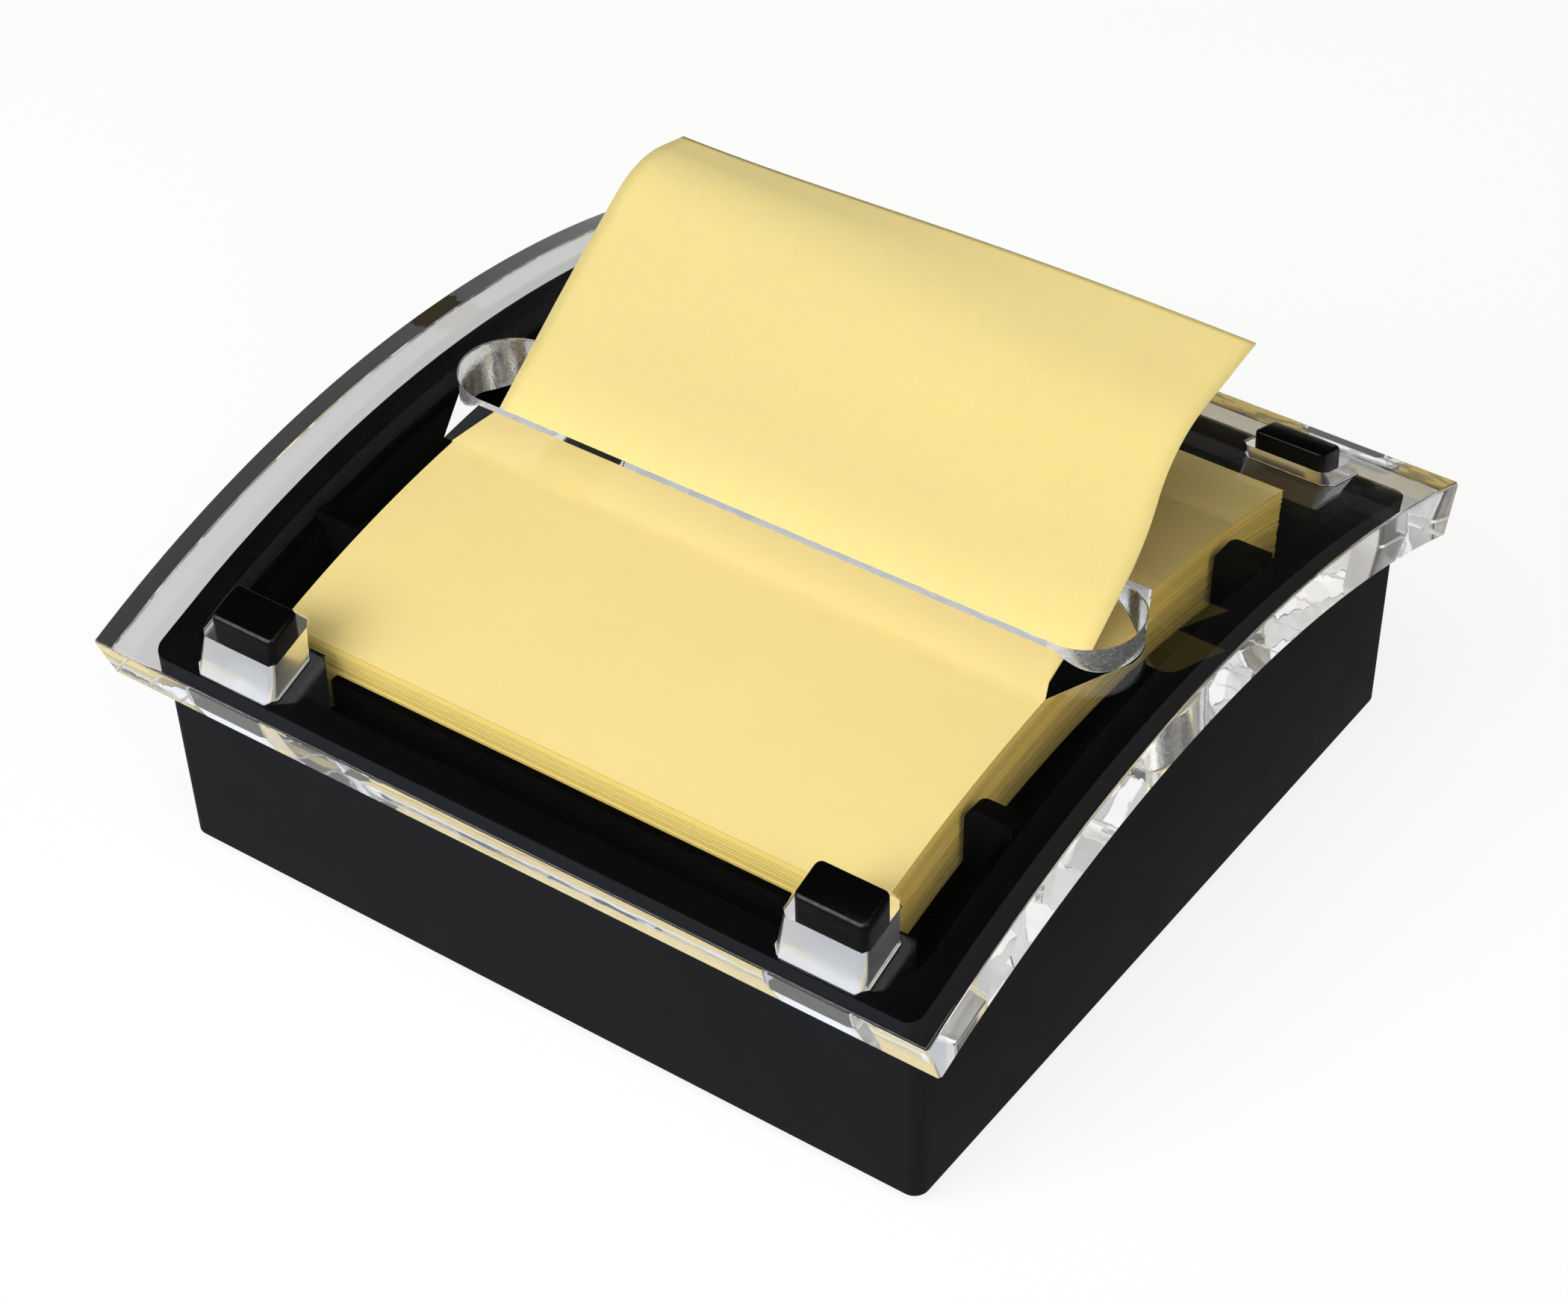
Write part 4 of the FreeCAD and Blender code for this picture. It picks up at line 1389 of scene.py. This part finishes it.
@dataclass
class RaisedNote:
    """The note that stands through the slot and curls back."""

    material: bpy.types.Material
    half_width: float = 38.1
    foot_y: float = -4.1
    foot_z: float = 33.2
    lean: float = 36.5
    left: tuple[Bend, ...] = (Bend(12, 0), Bend(19.2, -3.6), Bend(8.6, -45), Bend(4.0, 0))
    right: tuple[Bend, ...] = (Bend(12, 0), Bend(8.9, 27.5), Bend(11.0, -52.5), Bend(10.4, 0))
    columns: int = 40
    rows: int = 64
    thick: float = 0.14

    def heading(self, bends: Sequence[Bend], share: float) -> float:
        """Returns the slope in degrees at a share of the length of an edge."""
        left_over = share * self.length(bends)
        angle = self.lean
        for bend in bends:
            done = min(max(left_over / bend.length, 0), 1)
            angle += bend.turn * done
            left_over -= bend.length
        return angle

    @staticmethod
    def length(bends: Sequence[Bend]) -> float:
        """Returns the length of an edge."""
        return sum(bend.length for bend in bends)

    def build(self) -> bpy.types.Object:
        """Builds the sheet column by column, from the bends of its two edges."""
        shape = bmesh.new()
        grid = []
        for i in range(self.columns + 1):
            across = i / self.columns
            # Eases from the bends of the left edge to those of the right one.
            blend = across * across * (3 - 2 * across)
            step = (1 - across) * self.length(self.left) + across * self.length(self.right)
            step /= self.rows
            y, z = self.foot_y, self.foot_z
            column = []
            for j in range(self.rows + 1):
                place = Vector((self.half_width * (2 * across - 1), y, z)) * MM
                column.append(shape.verts.new(place))
                share = (j + 0.5) / self.rows
                slope = (1 - blend) * self.heading(self.left, share)
                slope += blend * self.heading(self.right, share)
                y += step * math.cos(math.radians(slope))
                z += step * math.sin(math.radians(slope))
            grid.append(column)
        for i in range(self.columns):
            for j in range(self.rows):
                shape.faces.new([grid[i][j], grid[i + 1][j], grid[i + 1][j + 1], grid[i][j + 1]])
        mesh = bpy.data.meshes.new("standing_note")
        shape.to_mesh(mesh)
        shape.free()
        mesh.shade_smooth()
        mesh.materials.append(self.material)
        note = new_object("standing_note", mesh)
        body = note.modifiers.new("sheet_thickness", "SOLIDIFY")
        body.thickness = self.thick * MM
        body.offset = 0
        return finished(note, Body.NOTE, Slot.NOTE, "raised_note")


@dataclass
class Underside:
    """Rubber feet, and the screws that hold the tray, seen from below."""

    rubber: bpy.types.Material
    zinc: bpy.types.Material
    foot_spread: Plan = (76.0, 72.66)
    foot_radius: float = 4.8
    foot_height: float = 1.8
    foot_edge: float = 0.15
    sole_edge: float = 0.4
    sole_bow: float = 0.3
    grooves: tuple[Plan, ...] = ((0.8, 1.4), (2.6, 3.2))
    groove_depth: float = 0.25
    groove_slope: float = 0.2
    screw_spread: float = 76.0
    head_under: float = 1.2
    head_height: float = 1.8
    head_radius: float = 2.8
    head_edge: float = 0.3
    shank_radius: float = 1.4
    shank_top: float = 17.7
    tip_radius: float = 0.3
    tip_length: float = 1.5
    recess_arm: float = 1.7
    recess_half_width: float = 0.32
    recess_depth: float = 1.1
    turns: int = 40

    def ring(self, radius: float) -> list[Plan]:
        """Returns the points of a circle about the upright axis, in plan."""
        angles = [2 * math.pi * i / self.turns for i in range(self.turns)]
        return [(radius * math.cos(angle), radius * math.sin(angle)) for angle in angles]

    def lathe(self, mesh: FacedMesh, profile: Sequence[tuple[float, float]]) -> None:
        """Turns a profile about the upright axis, with sharp corners.

        Args:
            mesh: The mesh that gets the faces.
            profile: Radius and height of each corner, in millimetres. The material is on its left.
        """
        for (r1, z1), (r2, z2) in zip(profile, profile[1:]):
            normals = [Vector((*out, r1 - r2)).normalized() for out in self.ring(z2 - z1)]
            rows = []
            for radius, height in ((r1, z1), (r2, z2)):
                places = [Vector((*plan, height)) * MM for plan in self.ring(radius)]
                rows.append(list(zip(places, normals)))
            mesh.strip(*rows)

    def cap(self, mesh: FacedMesh, radius: float, height: float, side: int) -> None:
        """Closes a turned shape with a flat disc that looks up for side 1 and down for side -1."""
        normal = Vector((0, 0, side))
        mesh.face([(Vector((*plan, height)) * MM, normal) for plan in self.ring(radius)])

    def foot_profile(self) -> list[tuple[float, float]]:
        """Returns the profile of a foot, from the groove in its middle to its top."""
        slope, depth = self.groove_slope, self.groove_depth
        profile = []
        for inner, outer in self.grooves:
            profile += [(inner - slope, 0.0), (inner, depth), (outer, depth), (outer + slope, 0.0)]
        # The groove in the middle is a round hollow, with no slope on its inner side.
        del profile[0]
        radius, height, edge = self.foot_radius, self.foot_height, self.sole_edge
        bow = self.sole_bow * edge
        profile += [(radius - edge, 0.0), (radius - bow, bow), (radius, edge)]
        profile += [(radius, height - self.foot_edge), (radius - self.foot_edge, height)]
        return profile

    def build_feet(self) -> bpy.types.Object:
        """Builds a round foot with a grooved sole and repeats it at the four corners."""
        mesh = FacedMesh()
        profile = self.foot_profile()
        self.lathe(mesh, profile)
        self.cap(mesh, *profile[0], -1)
        self.cap(mesh, *profile[-1], 1)
        foot = mesh.to_object("foot", self.rubber)
        feet = repeated("rubber_feet", foot, self.foot_spread, 2, self.rubber)
        return finished(feet, Body.BASE, Slot.RUBBER, *corner_nodes("foot"))

    def build_screws(self) -> bpy.types.Object:
        """Builds a screw with a cross recess and repeats it on both sides."""
        low, high = self.head_under, self.head_under + self.head_height
        head, edge, shank = self.head_radius, self.head_edge, self.shank_radius
        mesh = FacedMesh()
        profile = [(head - edge, low), (head, low + edge), (head, high), (shank, high)]
        profile += [(shank, self.shank_top - self.tip_length), (self.tip_radius, self.shank_top)]
        self.lathe(mesh, profile)
        self.cap(mesh, *profile[-1], 1)
        a, w = self.recess_arm, self.recess_half_width
        cross = [(a, -w), (a, w), (w, w), (w, a), (-w, a), (-w, w)]
        cross += [(-a, w), (-a, -w), (-w, -w), (-w, -a), (w, -a), (w, -w)]
        rim = self.ring(head - edge)
        down = Vector((0, 0, -1))
        mesh.fill([rim, cross], [], lambda p: (Vector((*p, low)) * MM, down))
        mesh.fill([cross], [], lambda p: (Vector((*p, low + self.recess_depth)) * MM, down))
        for start, end in zip(cross, cross[1:] + cross[:1]):
            inward = Vector((start[1] - end[1], end[0] - start[0], 0)).normalized()
            wall = [(*start, low), (*end, low), (*end, low + self.recess_depth)]
            wall.append((*start, low + self.recess_depth))
            mesh.face([(Vector(p) * MM, inward) for p in wall])
        screw = mesh.to_object("screw", self.zinc)
        screws = repeated("cross_screws", screw, (self.screw_spread, 0), 1, self.zinc)
        return finished(screws, Body.BASE, Slot.ZINC, "tray_screws")

    def build(self) -> None:
        """Builds the feet and the screws."""
        self.build_feet()
        self.build_screws()


@dataclass
class Softbox:
    """A square lamp that points at the dispenser."""

    name: str
    place: tuple[float, float, float]
    size: float
    power: float
    colour: Colour = (1.0, 1.0, 1.0)
    aim_height: float = 0.02

    def build(self) -> None:
        """Hangs the lamp, out of sight of the lid, which lets its light pass straight."""
        lamp = bpy.data.lights.new(self.name, "AREA")
        lamp.size = self.size
        lamp.energy = self.power
        lamp.color = self.colour
        hung = bpy.data.objects.new(self.name, lamp)
        hung.location = self.place
        hung.visible_transmission = False
        aim = Vector((0, 0, self.aim_height)) - Vector(self.place)
        hung.rotation_euler = aim.to_track_quat("-Z", "Y").to_euler()
        bpy.context.scene.collection.objects.link(hung)


@dataclass
class Studio:
    """Pale floor, soft light and the camera, in metres."""

    camera_place: tuple[float, float, float] = (0.186544, -0.252383, 0.280041)
    camera_aim: tuple[float, float, float] = (-0.45744, 0.61536, -0.64193)
    camera_roll: float = 1.6
    lens: float = 86.45
    sensor: float = 36.0
    nearest: float = 0.01
    floor_half: float = 3.0
    floor_white: float = 0.84
    floor_matt: float = 0.6
    floor_through: float = 0.28
    world_level: float = 0.012
    light_turns: int = 24
    lamps: tuple[Softbox, ...] = (
        Softbox("key_softbox", (-0.45, -0.85, 0.75), 0.8, 9.7),
        Softbox("top_softbox", (0.05, -0.5, 1.2), 0.9, 7.5),
        Softbox("side_softbox", (0.9, -0.35, 0.75), 0.6, 5.0, (1.0, 0.93, 0.78)),
    )

    def build_camera(self) -> None:
        """Sets the camera as the photograph was taken."""
        aim = Vector(self.camera_aim).normalized()
        right = aim.cross(Vector((0, 0, 1))).normalized()
        turn = Matrix.Rotation(math.radians(self.camera_roll), 3, aim)
        right = turn @ right
        up = right.cross(aim)
        data = bpy.data.cameras.new("camera")
        data.lens = self.lens
        data.sensor_width = self.sensor
        data.sensor_fit = "HORIZONTAL"
        data.clip_start = self.nearest
        camera = bpy.data.objects.new("camera", data)
        pose = Matrix((right, up, -aim)).transposed().to_4x4()
        pose.translation = self.camera_place
        camera.matrix_world = pose
        bpy.context.scene.collection.objects.link(camera)
        bpy.context.scene.camera = camera

    def build_floor(self) -> None:
        """Lays the floor, which looks white to the camera and keeps a soft shadow."""
        half = self.floor_half
        mesh = bpy.data.meshes.new("floor")
        corners = [(-half, -half, 0), (half, -half, 0), (half, half, 0), (-half, half, 0)]
        mesh.from_pydata(corners, [], [(0, 1, 2, 3)])
        floor = new_object("floor", mesh)
        material = bpy.data.materials.new("studio_floor")
        material.use_nodes = True
        tree = NodeTree(material.node_tree)
        glow = tree.add("ShaderNodeEmission")
        matt = tree.add("ShaderNodeBsdfDiffuse")
        path = tree.add("ShaderNodeLightPath").outputs
        pale = tree.math("MAXIMUM", path["Is Camera Ray"], self.floor_matt)
        tree.join(pale, matt.inputs["Color"])
        turned = tree.math("MAXIMUM", path["Is Transmission Ray"], path["Is Glossy Ray"])
        seen = tree.math("MULTIPLY", path["Is Camera Ray"], self.floor_white)
        seen = tree.math("MAXIMUM", seen, tree.math("MULTIPLY", turned, self.floor_through))
        output = tree.add("ShaderNodeOutputMaterial")
        tree.show_mix(output, seen, matt.outputs["BSDF"], glow.outputs["Emission"])
        mesh.materials.append(material)

    def build_light(self) -> None:
        """Hangs the lamps and sets the room: dim as light, white where the lid shows it."""
        for lamp in self.lamps:
            lamp.build()
        world = bpy.data.worlds.new("room")
        world.use_nodes = True
        tree = NodeTree(world.node_tree)
        room = tree.add("ShaderNodeBackground")
        tree.feed((self.world_level,) * 3, room.inputs["Color"])
        backdrop = tree.add("ShaderNodeBackground")
        tree.feed((1.0, 1.0, 1.0), backdrop.inputs["Color"])
        path = tree.add("ShaderNodeLightPath").outputs
        # Light that met nothing matt and turned at least twice inside the lid.
        straight = tree.math("LESS_THAN", path["Diffuse Depth"], 0.5)
        guided = tree.math("GREATER_THAN", path["Glossy Depth"], 1.5)
        clear = tree.math("MULTIPLY", path["Is Transmission Ray"], straight)
        clear = tree.math("MULTIPLY", clear, guided)
        seen = tree.math("MAXIMUM", path["Is Camera Ray"], clear)
        output = tree.add("ShaderNodeOutputWorld")
        tree.show_mix(output, seen, room.outputs["Background"], backdrop.outputs["Background"])
        bpy.context.scene.world = world

    def build_paths(self) -> None:
        """Lets light turn often enough to run along inside the clear lid."""
        cycles = bpy.context.scene.cycles
        cycles.max_bounces = self.light_turns
        cycles.glossy_bounces = self.light_turns
        cycles.transmission_bounces = self.light_turns
        cycles.transparent_max_bounces = self.light_turns

    def build(self) -> None:
        """Builds the studio."""
        self.build_camera()
        self.build_floor()
        self.build_light()
        self.build_paths()
        bpy.context.scene.view_settings.view_transform = "Standard"
        LOG.info("studio ready")


def main() -> None:
    """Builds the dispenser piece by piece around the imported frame."""
    logging.basicConfig(level=logging.INFO, format="%(name)s: %(message)s")
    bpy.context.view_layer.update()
    arch = Arch()
    Studio().build()
    Housing(
        arch,
        base_finish=MouldedPlastic("satin_black_base", Palette.BASE).make(),
        # The tray is painted far darker than the base: painted shade inside the housing.
        tray_finish=MouldedPlastic("matt_black_tray_painted_shade", Palette.TRAY, 0.55, gloss=0.01).make(),
        weight_finish=Metal("plain_steel", Palette.STEEL, 0.42).make(),
    ).build()
    LidPegs(arch, RubbedPlastic("gloss_black_peg", Palette.PEG, Palette.SCUFF_AND_HIGHLIGHT).make()).build()
    NotePad(arch, Paper("pad_paper", Palette.PAD, Palette.PAD_SHADED_EDGE, SHEET_TONE).make()).build()
    RaisedNote(Paper("note_paper", Palette.NOTE, Palette.PAD, glow=1.0).make()).build()
    Underside(
        rubber=MouldedPlastic("soft_rubber", Palette.RUBBER, 0.75, gloss=0.25, grain=0.6).make(),
        zinc=Metal("zinc_plate", Palette.ZINC, 0.3, (4, 4, 1)).make(),
    ).build()
    ClearLid(arch, ClearAcrylic("clear_acrylic").make()).build()


if __name__ == "__main__":
    main()
